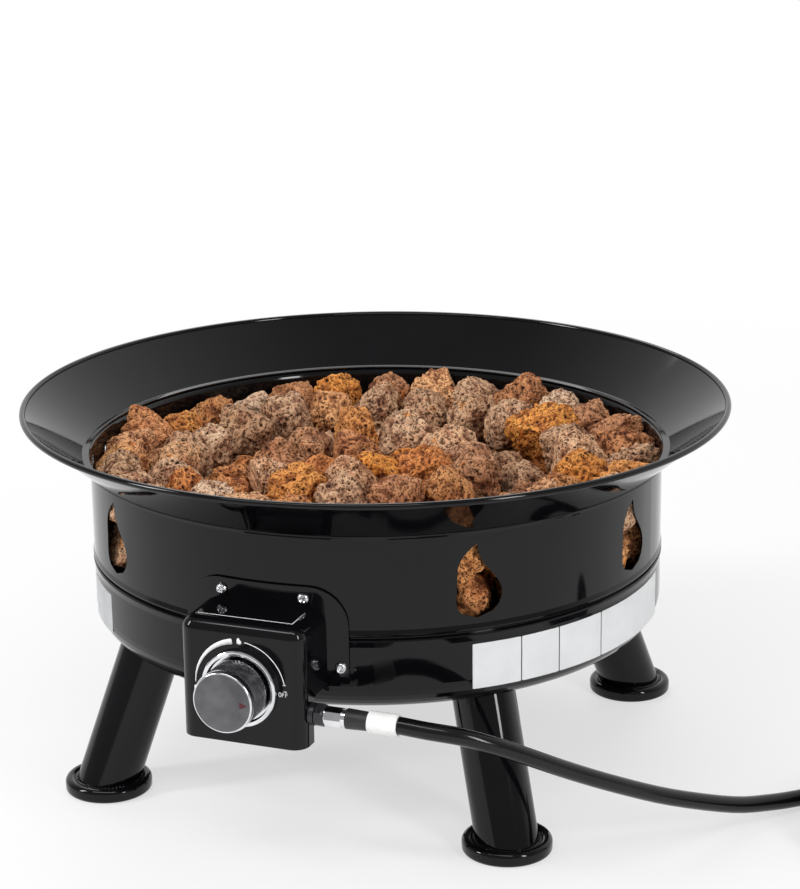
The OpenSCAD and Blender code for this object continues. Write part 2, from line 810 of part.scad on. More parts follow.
// The free hose, from the gas inlet down to the ground and on to the coil.
coil_z = hose_d / 2 + 1.6;
layer_step = hose_d + coil_gap;
hose_heading = 45;
heading_v = [cos(hose_heading), sin(hose_heading), 0];
coil_join = [432, 20, coil_z];
coil_middle = coil_join + coil_r * [sin(hose_heading), -cos(hose_heading), 0];
hose_points = [
    [hose_x, inlet_y, inlet_z],
    [hose_x + 0.6 * tag_l, inlet_y, inlet_z],
    [hose_x + tag_l + 3, inlet_y, inlet_z],
    [148, -276.3, 137.2],
    [174, -267, 132],
    [196, -253, 122],
    [216, -234, 108],
    [241, -206, 88],
    [270, -172, 66],
    [303, -130, 42],
    [342, -81, 20],
    [366, -50, 12],
    [387, -26, coil_z + 0.5],
    coil_join - 28 * heading_v,
    coil_join - 14 * heading_v
];

module hose_run() {
    color("#0b0b0c") tube_along(smooth_route(hose_points, 3), hose_d / 2, 8);
}

// The coil lies in two layers: it winds in on the ground, climbs where it turns back, and
// winds out on top. Everything is measured in turns from where the hose joins it.
coil_pitch = hose_d + coil_gap;
coil_inner = coil_r - coil_pitch * coil_turns;
climb_turns = 0.625;
all_turns = 2 * coil_turns + climb_turns;
rings_a_turn = 24;
function coil_radius(t) = coil_r - coil_pitch * min(t, all_turns - t);
function climbed(t) =
    let (s = max(0, min(1, (t - coil_turns) / climb_turns)))
    (1 - cos(180 * s)) / 2;
function coil_point(t) =
    let (a = 90 + hose_heading - 360 * t,
         r = coil_radius(t))
    [coil_middle[0] + r * cos(a), coil_middle[1] + r * sin(a), coil_z + layer_step * climbed(t)];
coil_steps = floor(all_turns * rings_a_turn + 0.5);
coil_wound = [for (i = [0:coil_steps]) coil_point(i / rings_a_turn)];
coil_end = coil_wound[coil_steps];
coil_exit = [cos(hose_heading - 360 * all_turns), sin(hose_heading - 360 * all_turns), 0];
lead = hose_d;
coil_path = concat(
    [coil_join - lead * heading_v],
    coil_wound,
    [coil_end + lead * coil_exit]);

// The least gap between two stretches of the coil that are at least a third of a turn apart.
coil_self_gap = min([for (i = [0:coil_steps], j = [i + floor(rings_a_turn / 3):1:coil_steps])
    norm(coil_wound[i] - coil_wound[j])]) - hose_d;
echo(coil_self_gap = coil_self_gap);

module hose_coil() {
    color("#0b0b0c") tube_along(coil_path, hose_d / 2, 6);
}

// A strap round the bundle of turns, on the side away from the join.
module coil_tie() {
    t = 1.1;
    inner_edge = coil_inner - coil_pitch / 2 - hose_d / 2 - 2;
    outer_edge = coil_r + hose_d / 2 + 2;
    w = outer_edge - inner_edge;
    h = layer_step + hose_d * cos(30) + 3 * seat;
    color("#202024")
        translate(coil_middle)
            rotate([0, 0, hose_heading - 90])
                translate([(inner_edge + outer_edge) / 2, 6, layer_step / 2])
                    rotate([90, 0, 0]) linear_extrude(12) difference() {
                        polygon(round_rect(w + 2 * t, h + 2 * t, 7 + t));
                        polygon(round_rect(w, h, 7));
                    }
}

// ---- Regulator ----

end_ferrule_l = 24;
regulator_reach = 52;
regulator_x = lead + end_ferrule_l + regulator_reach;
port_d = 20;
nipple_x = regulator_x + regulator_reach;
nipple_l = 40;
nut_start = nipple_x + 5;

// Puts what is modelled along +X at the hose's end.
module at_hose_end() {
    translate(coil_end) rotate([0, 0, hose_heading - 360 * all_turns]) children();
}

module along_end(x) {
    at_hose_end() translate([x, 0, 0]) rotate([0, 90, 0]) children();
}

module end_ferrule() {
    color("#c8a24a") along_end(lead + seat) difference() {
        union() {
            cylinder(d = hose_d + 2, h = end_ferrule_l - 2 * seat);
            translate([0, 0, end_ferrule_l - 10]) cylinder(d = hose_d + 6, h = 10 - 2 * seat, $fn = 6);
        }
        translate([0, 0, -eps]) cylinder(d = 8, h = end_ferrule_l + 2 * eps);
    }
}

regulator_z = coil_z + layer_step;
regulator_low = 0.3 - regulator_z;
regulator_join = 2;

module regulator_body() {
    r = regulator_d / 2;
    color("#8f9196") at_hose_end() difference() {
        union() {
            translate([regulator_x, 0, 0]) rotate_extrude() polygon(concat(
                [[0, regulator_low], [r - 12, regulator_low]],
                arc([r - 6, -6], 6, -60, 0, 4),
                [[r, regulator_join], [0, regulator_join]]));
            translate([lead + end_ferrule_l, 0, 0]) rotate([0, 90, 0])
                cylinder(d = port_d, h = regulator_reach);
            translate([regulator_x, 0, 0]) rotate([0, 90, 0]) cylinder(d = port_d, h = regulator_reach);
        }
        translate([lead + end_ferrule_l - eps, 0, 0]) rotate([0, 90, 0]) cylinder(d = 8, h = 20);
        translate([nipple_x - 12, 0, 0]) rotate([0, 90, 0]) cylinder(d = 8, h = 12 + eps);
        translate([regulator_x - r - 2, -r - 2, regulator_join])
            cube([2 * r + 4, 2 * r + 4, port_d]);
    }
}

module regulator_bonnet() {
    r = regulator_d / 2;
    h = 11;
    color("#a3a5aa") at_hose_end() translate([regulator_x, 0, regulator_join + seat])
        difference() {
            rotate_extrude() polygon(concat(
                [[0, 0], [r, 0]],
                arc([r - 1, 2], 1, 0, 90, 2),
                [[r - 11, 3.2], [r - 13, h], [0, h + 1]]));
            for (i = [0:5])
                rotate([0, 0, 60 * i + 30]) translate([r - 5.5, 0, -eps])
                    cylinder(d = 3.4, h = 6, $fn = fine);
        }
}

module bonnet_screws() {
    r = regulator_d / 2;
    color("#c9cace") at_hose_end() translate([regulator_x, 0, regulator_join + seat])
        for (i = [0:5])
            rotate([0, 0, 60 * i + 30]) translate([r - 5.5, 0, 0]) {
                translate([0, 0, 3 + seat]) pan_head(6, 2.2);
                cylinder(d = 3, h = 4, $fn = fine);
            }
}

// The brass nipple, whose round nose seals in the bottle's valve.
module coupling_nipple() {
    color("#c8a24a") along_end(nipple_x + seat) difference() {
        union() {
            cylinder(d = 16, h = nut_start - nipple_x - 2 * seat, $fn = 6);
            cylinder(d = 12, h = nipple_l - 8);
            translate([0, 0, nut_start - nipple_x + 5]) cylinder(d = 17, h = 3);
            translate([0, 0, nipple_l - 8]) sphere(d = 12);
        }
        translate([0, 0, -eps]) cylinder(d = 6, h = nipple_l + 4);
    }
}

// The hand nut runs on the nipple's shoulder and has a screw socket at its mouth.
module coupling_nut() {
    r = nut_d / 2;
    floor_t = 4;
    color("#15151a") along_end(nut_start) difference() {
        union() {
            cylinder(r = r - 3, h = nut_l);
            translate([0, 0, 3])
                linear_extrude(nut_l - 6) polygon(fluted(r, 2.2, 12));
        }
        translate([0, 0, -eps]) cylinder(r = 6 + stem_gap, h = floor_t + 2 * eps);
        translate([0, 0, floor_t]) cylinder(r = r - 6.5, h = nut_l);
    }
}

// ---- Legs and feet ----

leg_angles = [-45, 45, 225, 135];
leg_reach = leg_h - foot_pivot_z + pan_corner;

// Puts what is modelled along a leg's axis, with zero at the foot and the angle from the front.
module along_leg(angle) {
    around(angle) translate([0, -feet_r, foot_pivot_z]) rotate([-leg_tilt, 0, 0]) children();
}

// Everything that the bowl fills, with a small clearance under it.
module pan_space(gap) {
    rotate_extrude() polygon(concat(
        [[0, leg_h + 60], [shell_r + gap, leg_h + 60]],
        arc([shell_r - pan_corner, leg_h + pan_corner], pan_corner + gap, 0, -90, 8),
        [[0, leg_h - gap]]));
}

module leg_at(angle) {
    wall_r = leg_d / 2 - leg_wall;
    color("#0d0d0f") difference() {
        along_leg(angle) translate([0, 0, -20]) cylinder(d = leg_d, h = leg_reach + 20);
        along_leg(angle) translate([0, 0, -20 - eps]) cylinder(r = wall_r, h = leg_reach + 20 + 2 * eps);
        pan_space(seat);
        translate([-rim_r, -rim_r, -60]) cube([2 * rim_r, 2 * rim_r, 60 + foot_pivot_z - 2 + seat]);
    }
}

module foot_at(angle) {
    r = foot_d / 2;
    collar_r = leg_d / 2 + 3;
    collar_h = 12;
    color("#0d0d0f") difference() {
        union() {
            around(angle) translate([0, -feet_r, 0]) rotate_extrude() polygon(concat(
                [[0, 0], [r - 2, 0]],
                arc([r - 2, 2], 2, -90, 0, 3),
                arc([r - 3, foot_h - 5], 3, 0, 60, 4),
                [[r - 6, foot_h - 1.6], [collar_r - 1, foot_h], [0, foot_h]]));
            difference() {
                along_leg(angle) rotate_extrude() polygon(concat(
                    [[0, 0], [collar_r, 0]],
                    arc([collar_r - 2, collar_h - 2], 2, 0, 90, 4),
                    [[0, collar_h]]));
                translate([-rim_r, -rim_r, -60]) cube([2 * rim_r, 2 * rim_r, 60 + foot_pivot_z - 4]);
            }
        }
        difference() {
            along_leg(angle) translate([0, 0, -30]) cylinder(r = leg_d / 2 + seat, h = 60);
            translate([-rim_r, -rim_r, -60]) cube([2 * rim_r, 2 * rim_r, 60 + foot_pivot_z - 2]);
        }
    }
}

// The welded plate that closes a leg and takes its bolts, shaped to the pan.
cap_t = 3;
bolt_r = feet_r - (leg_h - foot_pivot_z) * tan(leg_tilt) - 10;
bolt_side = 11;

module leg_bolt_holes() {
    for (side = [-1, 1])
        translate([side * bolt_side, -bolt_r, leg_h - 10])
            cylinder(d = leg_bolt_d + 0.6, h = 20, $fn = fine);
}

module leg_caps() {
    color("#0d0d0f")
        for (a = leg_angles)
            difference() {
                along_leg(a) translate([0, 0, leg_reach / 2])
                    cylinder(r = leg_d / 2 - leg_wall - seat, h = leg_reach / 2);
                pan_space(seat);
                difference() {
                    translate([0, 0, -eps]) cylinder(r = rim_r, h = leg_h + 60);
                    pan_space(seat + cap_t);
                }
                around(a) leg_bolt_holes();
            }
}

module leg_bolts() {
    top = leg_h + sheet + seat;
    bottom = leg_h - seat - cap_t - 8;
    color("#8c8c90")
        for (a = leg_angles, side = [-1, 1])
            around(a) translate([side * bolt_side, -bolt_r, 0]) {
                translate([0, 0, top]) cylinder(d = leg_bolt_d * 1.9, h = 4, $fn = 6);
                translate([0, 0, bottom]) cylinder(d = leg_bolt_d, h = top - bottom + 1, $fn = fine);
            }
}

module leg_nuts() {
    color("#8c8c90")
        for (a = leg_angles, side = [-1, 1])
            around(a) translate([side * bolt_side, -bolt_r, leg_h - 2 * seat - cap_t - 5])
                difference() {
                    cylinder(d = leg_bolt_d * 1.9, h = 5, $fn = 6);
                    translate([0, 0, -eps]) cylinder(r = leg_bolt_d / 2 + 0.15, h = 6, $fn = fine);
                }
}

// ---- Lava rock ----

// Rings of rocks: radius of the ring, how many, and the turn of the first.
low_rings = [[27, 3, 10], [burner_r - burner_d / 2 - rock_low_r - 2, 10, 18],
             [shell_r - sheet - 3 * rock_low_r - 5, 23, 4], [shell_r - sheet - rock_low_r - 3, 29, 0]];
top_span = shell_r - sheet - rock_top_r - rock_vary - 2.5;
rock_rings = 5;
top_rings = [for (i = [0:rock_rings]) [top_span * i / rock_rings, i == 0 ? 1 : round(6.15 * i), 17 * i]];

function ring_spots(rings) =
    [for (g = rings, k = [0:g[1] - 1])
        let (a = g[2] + 360 * k / g[1])
        [g[0] * cos(a), g[0] * sin(a)]];
low_spots = ring_spots(low_rings);
top_spots = ring_spots(top_rings);

// A number from -1 to 1 that looks random but always comes out the same.
function wobble(i, k) = sin(i * 137.5 + k * 71.3) * cos(i * 61.9 + k * 29.7);
function top_radius(i) = rock_top_r + rock_vary * wobble(i, 5);

// Height at which a rock comes to rest on the hearth, the burner or the rocks below it.
rest_gap = 0.25;
low_z = hearth_z + rock_low_r + rest_gap;
function on_sphere(p, r, q) =
    let (d = norm(p - q),
         touch = r + rock_low_r + rest_gap)
    d < touch ? low_z + sqrt(touch * touch - d * d) : 0;
function on_burner(p, r) =
    let (d = abs(norm(p) - burner_r),
         touch = r + burner_d / 2 + rest_gap)
    d < touch ? burner_z + sqrt(touch * touch - d * d) : 0;
function rest_z(p, r) = max(concat(
    [hearth_z + r + rest_gap, on_burner(p, r)],
    [for (q = low_spots) on_sphere(p, r, q)]));

// A block that keeps one side of a plane, which lies at a distance from the middle.
module one_side(tilt, turn, distance) {
    size = 80;
    rotate([0, tilt, turn]) translate([-size / 2, -size / 2, distance - size])
        cube([size, size, size]);
}

// A rock: a ball broken flat on three sides, whose tilts are measured from the top.
// The upper rocks are broken where they show. The lower ones lie the other way up, so that
// the upper ones rest on their round tops. The ball's own seam is turned away from the breaks.
top_breaks = [32, 43, 50];
low_breaks = [44, 47, 50];
module rock(i, r, tilts) {
    turn = 180 * wobble(i, 3);
    intersection() {
        rotate([0, 90, 0]) sphere(r, $fn = 48);
        one_side(tilts[0] + 8 * wobble(i, 4), turn, r * (0.86 + 0.05 * wobble(i, 6)));
        one_side(tilts[1] + 8 * wobble(i, 7), turn + 125, r * (0.88 + 0.05 * wobble(i, 8)));
        one_side(tilts[2] + 6 * wobble(i, 9), turn + 235, r * (0.9 + 0.04 * wobble(i, 10)));
    }
}

module top_rocks(from, to) {
    color("#8a6a52")
        for (i = [from:to])
            let (p = top_spots[i])
                translate([p[0], p[1], rest_z(p, top_radius(i))])
                    rock(i, top_radius(i), top_breaks);
}

inner_rocks = top_rings[0][1] + top_rings[1][1] + top_rings[2][1] + top_rings[3][1];

module lava_rocks_low() {
    color("#6e5544")
        for (i = [0:len(low_spots) - 1])
            translate([low_spots[i][0], low_spots[i][1], low_z])
                rotate([180, 0, 0]) rock(i + 7, rock_low_r, low_breaks);
}

module lava_rocks_inner() {
    top_rocks(0, inner_rocks - 1);
}

module lava_rocks_outer() {
    top_rocks(inner_rocks, len(top_spots) - 1);
}

// ---- Nodes that share a module ----

module leg_front_left() { leg_at(leg_angles[0]); }
module leg_front_right() { leg_at(leg_angles[1]); }
module leg_rear_left() { leg_at(leg_angles[2]); }
module leg_rear_right() { leg_at(leg_angles[3]); }
module foot_front_left() { foot_at(leg_angles[0]); }
module foot_front_right() { foot_at(leg_angles[1]); }
module foot_rear_left() { foot_at(leg_angles[2]); }
module foot_rear_right() { foot_at(leg_angles[3]); }

rim_ring();
upper_shell();
hearth_plate();
base_pan();
clamp_screws();
burner_ring();
burner_brackets();
burner_screws();
mixer_tube();
air_shutter();
gas_orifice();
valve_body();
valve_screws();
valve_stem();
push_collar();
stem_spring();
control_housing();
housing_screws();
knob_bezel();
knob_body();
knob_rings();
knob_cap();
inlet_elbow();
inlet_nut();
hose_ferrule();
hose_sleeve();
hose_tag();
hose_run();
hose_coil();
coil_tie();
end_ferrule();
regulator_body();
regulator_bonnet();
bonnet_screws();
coupling_nipple();
coupling_nut();
leg_front_left();
leg_front_right();
leg_rear_left();
leg_rear_right();
foot_front_left();
foot_front_right();
foot_rear_left();
foot_rear_right();
leg_caps();
leg_bolts();
leg_nuts();
lava_rocks_low();
lava_rocks_inner();
lava_rocks_outer();
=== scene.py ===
"""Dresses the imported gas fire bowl: its enamel, lava rock, dial, labels, hose and fittings.

Lengths are metres in the part's own frame: the origin is on the bowl's axis at ground level,
+Z is up and the control knob faces -Y. Angles are degrees.
"""

import json
import logging
import math
from dataclasses import dataclass, field
from enum import Enum
from itertools import product

import bmesh
import bpy
import numpy as np
from mathutils import Matrix, Vector

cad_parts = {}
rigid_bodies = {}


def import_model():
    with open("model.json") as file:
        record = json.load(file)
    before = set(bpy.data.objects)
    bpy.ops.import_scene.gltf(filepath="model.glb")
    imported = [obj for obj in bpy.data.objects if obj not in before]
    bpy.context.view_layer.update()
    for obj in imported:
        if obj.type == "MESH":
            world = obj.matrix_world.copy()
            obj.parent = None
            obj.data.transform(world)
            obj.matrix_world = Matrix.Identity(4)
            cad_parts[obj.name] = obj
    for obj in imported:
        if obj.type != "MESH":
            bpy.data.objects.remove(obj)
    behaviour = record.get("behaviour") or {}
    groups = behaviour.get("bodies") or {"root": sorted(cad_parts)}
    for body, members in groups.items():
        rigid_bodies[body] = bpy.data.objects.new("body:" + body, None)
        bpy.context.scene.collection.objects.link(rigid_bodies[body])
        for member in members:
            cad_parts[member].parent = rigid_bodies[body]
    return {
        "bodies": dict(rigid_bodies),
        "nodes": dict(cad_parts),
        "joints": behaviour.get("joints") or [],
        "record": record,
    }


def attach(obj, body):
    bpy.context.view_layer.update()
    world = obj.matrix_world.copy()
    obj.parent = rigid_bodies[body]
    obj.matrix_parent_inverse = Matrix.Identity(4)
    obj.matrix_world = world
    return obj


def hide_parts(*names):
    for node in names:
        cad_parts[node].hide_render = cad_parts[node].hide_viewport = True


MM = 0.001
LOG = logging.getLogger("fire_bowl")

Array = np.ndarray
Triple = tuple[float, float, float]
Form = tuple[Array, Array | list]
Stops = tuple[tuple[float, Triple], ...]
Socket = bpy.types.NodeSocket

UP = np.array([0.0, 0.0, 1.0])
RIGHT = np.array([1.0, 0.0, 0.0])
AHEAD = np.array([0.0, -1.0, 0.0])
WHITE = (1.0, 1.0, 1.0)


class Body(Enum):
    """The rigid bodies that new pieces ride on."""

    BOWL = "bowl"
    KNOB = "knob"


class Grain(Enum):
    """How a finish breaks up its surface: softly, in small cells, or in rings as if spun."""

    SOFT = "soft"
    CAST = "cast"
    SPUN = "spun"


# ---- Numbers that look random but always come out the same ----

HASH_STEPS = (73856093, 19349663, 83492791)
HASH_SEED_STEP = 6542989
HASH_FACTOR = 1274126177
HASH_BITS = 0x7FFFFFFF
HASH_TOP = 0xFFFF
PIT_SMALLEST = 0.22
PIT_SPREAD = 0.4


def hashed(cells: Array, seed: int) -> Array:
    """A number from 0 to 1 for each whole-number cell, from an integer hash.

    Args:
        cells: Whole numbers, with x, y and z in the last axis.
        seed: Picks one of many such fields.

    Returns:
        One number from 0 to 1 per cell.
    """
    x, y, z = (cells[..., axis] * step for axis, step in enumerate(HASH_STEPS))
    mixed = (x ^ y ^ z ^ (seed * HASH_SEED_STEP)) & HASH_BITS
    mixed = ((mixed ^ (mixed >> 13)) * HASH_FACTOR) & HASH_BITS
    return ((mixed ^ (mixed >> 16)) & HASH_TOP) / HASH_TOP


def soft_noise(points: Array, seed: int) -> Array:
    """Smooth noise from -1 to 1: eight hashed corners blended by 3t^2 - 2t^3 along each axis.

    Args:
        points: Places, with x, y and z in the last axis, in units of one lump.
        seed: Picks one of many such fields.

    Returns:
        One number per point.
    """
    cell = np.floor(points).astype(np.int64)
    t = points - cell
    blend = t * t * (3.0 - 2.0 * t)
    total = np.zeros(points.shape[:-1])
    for corner in product((0, 1), repeat=3):
        step = np.array(corner)
        weight = np.where(step == 1, blend, 1.0 - blend).prod(axis=-1)
        total += weight * hashed(cell + step, seed)
    return 2.0 * total - 1.0


def pits(points: Array, seed: int) -> Array:
    """Round pits: 1 - (distance / radius)^2 below the nearest scattered pit, and 0 between pits.

    Args:
        points: Places, with x, y and z in the last axis, in units of one pit's cell.
        seed: Picks one of many such fields.

    Returns:
        The depth from 0 to 1 at each point.
    """
    cell = np.floor(points).astype(np.int64)
    deepest = np.zeros(points.shape[:-1])
    for corner in product((-1, 0, 1), repeat=3):
        there = cell + np.array(corner)
        middle = there + np.stack([hashed(there, seed + k) for k in (1, 2, 3)], axis=-1)
        radius = PIT_SMALLEST + PIT_SPREAD * hashed(there, seed + 4)
        gone = ((points - middle) ** 2).sum(axis=-1) / radius**2
        deepest = np.maximum(deepest, 1.0 - gone)
    return deepest


# ---- Meshes from whole arrays ----

WELD = 1e-6


def grid_faces(rows: int, columns: int, round_rows: bool = False, round_columns: bool = False) -> Array:
    """Four-sided faces of a grid of points stored row by row.

    Args:
        rows: Number of rows of points.
        columns: Number of points in a row.
        round_rows: True where the last row joins the first.
        round_columns: True where the last column joins the first.

    Returns:
        One row of four point numbers per face.
    """
    i, j = np.indices((rows - (not round_rows), columns - (not round_columns)))
    next_i, next_j = (i + 1) % rows, (j + 1) % columns
    corners = ((i, j), (i, next_j), (next_i, next_j), (next_i, j))
    return np.stack([row * columns + column for row, column in corners], axis=-1).reshape(-1, 4)


def grid_edge(rows: int, columns: int) -> Array:
    """The point numbers round the edge of an open grid of points stored row by row."""
    number = np.arange(rows * columns).reshape(rows, columns)
    return np.concatenate([number[0], number[1:, -1], number[-1, -2::-1], number[-2:0:-1, 0]])


def revolve(profile: Array, segments: int) -> Form:
    """A closed profile turned about the Z axis: (r cos a, r sin a, z).

    Args:
        profile: One row of radius and height per point, as a closed outline.
        segments: Number of steps round the axis.

    Returns:
        Points and faces.
    """
    angle = np.linspace(0.0, 2.0 * np.pi, segments, endpoint=False)
    r, a = np.meshgrid(profile[:, 0], angle, indexing="ij")
    z = np.repeat(profile[:, 1:2], segments, axis=1)
    points = np.stack([r * np.cos(a), r * np.sin(a), z], axis=-1)
    return points.reshape(-1, 3), grid_faces(len(profile), segments, True, True)


def sweep(path: Array, radius: float, sides: int) -> Form:
    """A round tube: each path point plus radius times (cos a side + sin a up), with closed ends.

    Args:
        path: One row of x, y and z per point.
        radius: The tube's radius.
        sides: Number of points round the tube.

    Returns:
        Points and faces.
    """
    heading = np.gradient(path, axis=0)
    heading /= np.linalg.norm(heading, axis=1, keepdims=True)
    side = np.cross(heading, UP)
    side /= np.linalg.norm(side, axis=1, keepdims=True)
    up = np.cross(side, heading)
    angle = np.linspace(0.0, 2.0 * np.pi, sides, endpoint=False)[None, :, None]
    ring = np.cos(angle) * side[:, None] + np.sin(angle) * up[:, None]
    points = (path[:, None] + radius * ring).reshape(-1, 3)
    faces = grid_faces(len(path), sides, round_columns=True).tolist()
    faces.append(list(range(sides))[::-1])
    faces.append(list(range(len(points) - sides, len(points))))
    return points, faces


def spline(points: Array, steps: int) -> Array:
    """A Catmull-Rom curve through points: 0.5 (2b + (c-a)t + (2a-5b+4c-d)t^2 + (3b-a-3c+d)t^3).

    Args:
        points: The route's points.
        steps: Number of steps between each two.

    Returns:
        The curve's points.
    """
    spans, last = np.arange(len(points) - 1), len(points) - 1
    a, b, c, d = (points[np.clip(spans + k, 0, last)][:, None] for k in (-1, 0, 1, 2))
    t = (np.arange(steps) / steps)[None, :, None]
    curve = 0.5 * (2 * b + (c - a) * t + (2 * a - 5 * b + 4 * c - d) * t**2
                   + (3 * b - a - 3 * c + d) * t**3)
    return np.concatenate([curve.reshape(-1, 3), points[-1:]])


def ribbon(path: Array, side: Array, half: Array, up: Array, thick: float = 0.1 * MM) -> Form:
    """A flat strip of rectangular section: path +- half x side, from -thick to +thick along up.

    Args:
        path: The middle line's points.
        side: Direction of the strip's width, one for all or one for each point.
        half: Half of the width at each point.
        up: Direction in which the strip stands out.
        thick: How far it stands out, and how far it is sunk.

    Returns:
        Points and faces.
    """
    across, lift = half[:, None] * side, thick * up
    ring = np.stack([path - across - lift, path + across - lift,
                     path + across + lift, path - across + lift], axis=1)
    count = len(path)
    faces = grid_faces(count, 4, round_columns=True).tolist()
    faces += [[3, 2, 1, 0], list(range(4 * count - 4, 4 * count))]
    return ring.reshape(-1, 3), faces


def about_z(points: Array, degrees: float) -> Array:
    """Points turned about the bowl's axis."""
    c, s = math.cos(math.radians(degrees)), math.sin(math.radians(degrees))
    return points @ np.array([[c, s, 0.0], [-s, c, 0.0], [0.0, 0.0, 1.0]])


def facing_front(points: Array, y: float, z: float) -> Array:
    """Points modelled along +Z turned so that they face -Y from a place on the front."""
    return np.stack([points[:, 0], y - points[:, 2], z + points[:, 1]], axis=-1)


def clock(degrees: Array | float) -> Array:
    """Directions on the front, clockwise from 12 o'clock: (sin a, 0, cos a)."""
    a = np.radians(degrees)
    return np.stack([np.sin(a), np.zeros_like(a), np.cos(a)], axis=-1)


def make_mesh(name: str, points: Array, faces: list | Array, smooth: bool = True) -> bpy.types.Object:
    """A new object at the origin from arrays of points and faces.

    Args:
        name: The piece's name.
        points: One row of x, y and z per point.
        faces: Point numbers of each face.
        smooth: True for a smoothly shaded surface.

    Returns:
        The object, linked to the scene.
    """
    mesh = bpy.data.meshes.new(name)
    mesh.from_pydata(points.tolist(), [], faces if isinstance(faces, list) else faces.tolist())
    mesh.polygons.foreach_set("use_smooth", np.full(len(mesh.polygons), smooth))
    mesh.update()
    piece = bpy.data.objects.new(name, mesh)
    bpy.context.scene.collection.objects.link(piece)
    return piece


def solid(name: str, forms: list[Form], sharp: float | None = None, smooth: bool = True
          ) -> bpy.types.Object:
    """One object from closed forms, with doubled points merged and all faces turned outwards.

    Args:
        name: The piece's name.
        forms: Points and faces of each form.
        sharp: Angle above which an edge stays sharp, or None to keep none.
        smooth: True for a smoothly shaded surface.

    Returns:
        The object.
    """
    shift = 0
    faces = []
    for points, form_faces in forms:
        faces += [[number + shift for number in face] for face in form_faces]
        shift += len(points)
    piece = make_mesh(name, np.concatenate([points for points, _ in forms]), faces, smooth)
    work = bmesh.new()
    work.from_mesh(piece.data)
    bmesh.ops.remove_doubles(work, verts=work.verts, dist=WELD)
    bmesh.ops.recalc_face_normals(work, faces=work.faces)
    work.to_mesh(piece.data)
    work.free()
    if sharp is not None:
        piece.data.set_sharp_from_angle(angle=math.radians(sharp))
    return piece


# ---- Node trees ----


class Nodes:
    """A node tree, with short calls for the nodes that the finishes, floor and world use."""

    def __init__(self, tree: bpy.types.NodeTree, place: str) -> None:
        """Empties the tree and picks its coordinates.

        Args:
            tree: The tree.
            place: Which coordinates its textures read, such as Object.
        """
        self.tree = tree
        self.tree.nodes.clear()
        self.place = self.add("TexCoord").outputs[place]

    def fill(self, node: bpy.types.Node, inputs: dict) -> None:
        """Links or sets a node's inputs.

        Args:
            node: The node.
            inputs: A socket to link, or a value to set, for each input by its name or number.
        """
        for name, value in inputs.items():
            if isinstance(value, Socket):
                self.tree.links.new(value, node.inputs[name])
            else:
                node.inputs[name].default_value = value

    def add(self, kind: str, inputs: dict | None = None, **settings: str) -> bpy.types.Node:
        """Adds a node.

        Args:
            kind: What follows ShaderNode in the name of its type.
            inputs: Sockets and values for its inputs, as fill() takes them.
            settings: The node's own settings, which are made before its inputs are filled.

        Returns:
            The node.
        """
        node = self.tree.nodes.new(f"ShaderNode{kind}")
        for name, value in settings.items():
            setattr(node, name, value)
        self.fill(node, inputs or {})
        return node

    def spread(self, source: Socket, low: float, high: float, start: float = 0.3, end: float = 0.7
               ) -> Socket:
        """A factor moved from one range to another, such as noise to roughness.

        Args:
            source: The factor.
            low: Result at start.
            high: Result at end.
            start: Factor that gives low.
            end: Factor that gives high.

        Returns:
            The new number.
        """
        return self.add("MapRange", {"Value": source, "From Min": start, "From Max": end,
                                     "To Min": low, "To Max": high}).outputs[0]

    def maths(self, operation: str, first: Socket, second: Socket | float) -> Socket:
        """A math node on a socket and either a second socket or a number."""
        return self.add("Math", {0: first, 1: second}, operation=operation).outputs[0]

    def rays(self, *kinds: str) -> Socket:
        """1 for rays of the named kinds and 0 for all others.

        Args:
            kinds: Such as Camera or Glossy.

        Returns:
            The factor.
        """
        path = self.add("LightPath").outputs
        seen = path[f"Is {kinds[0]} Ray"]
        for kind in kinds[1:]:
            seen = self.maths("MAXIMUM", seen, path[f"Is {kind} Ray"])
        return seen


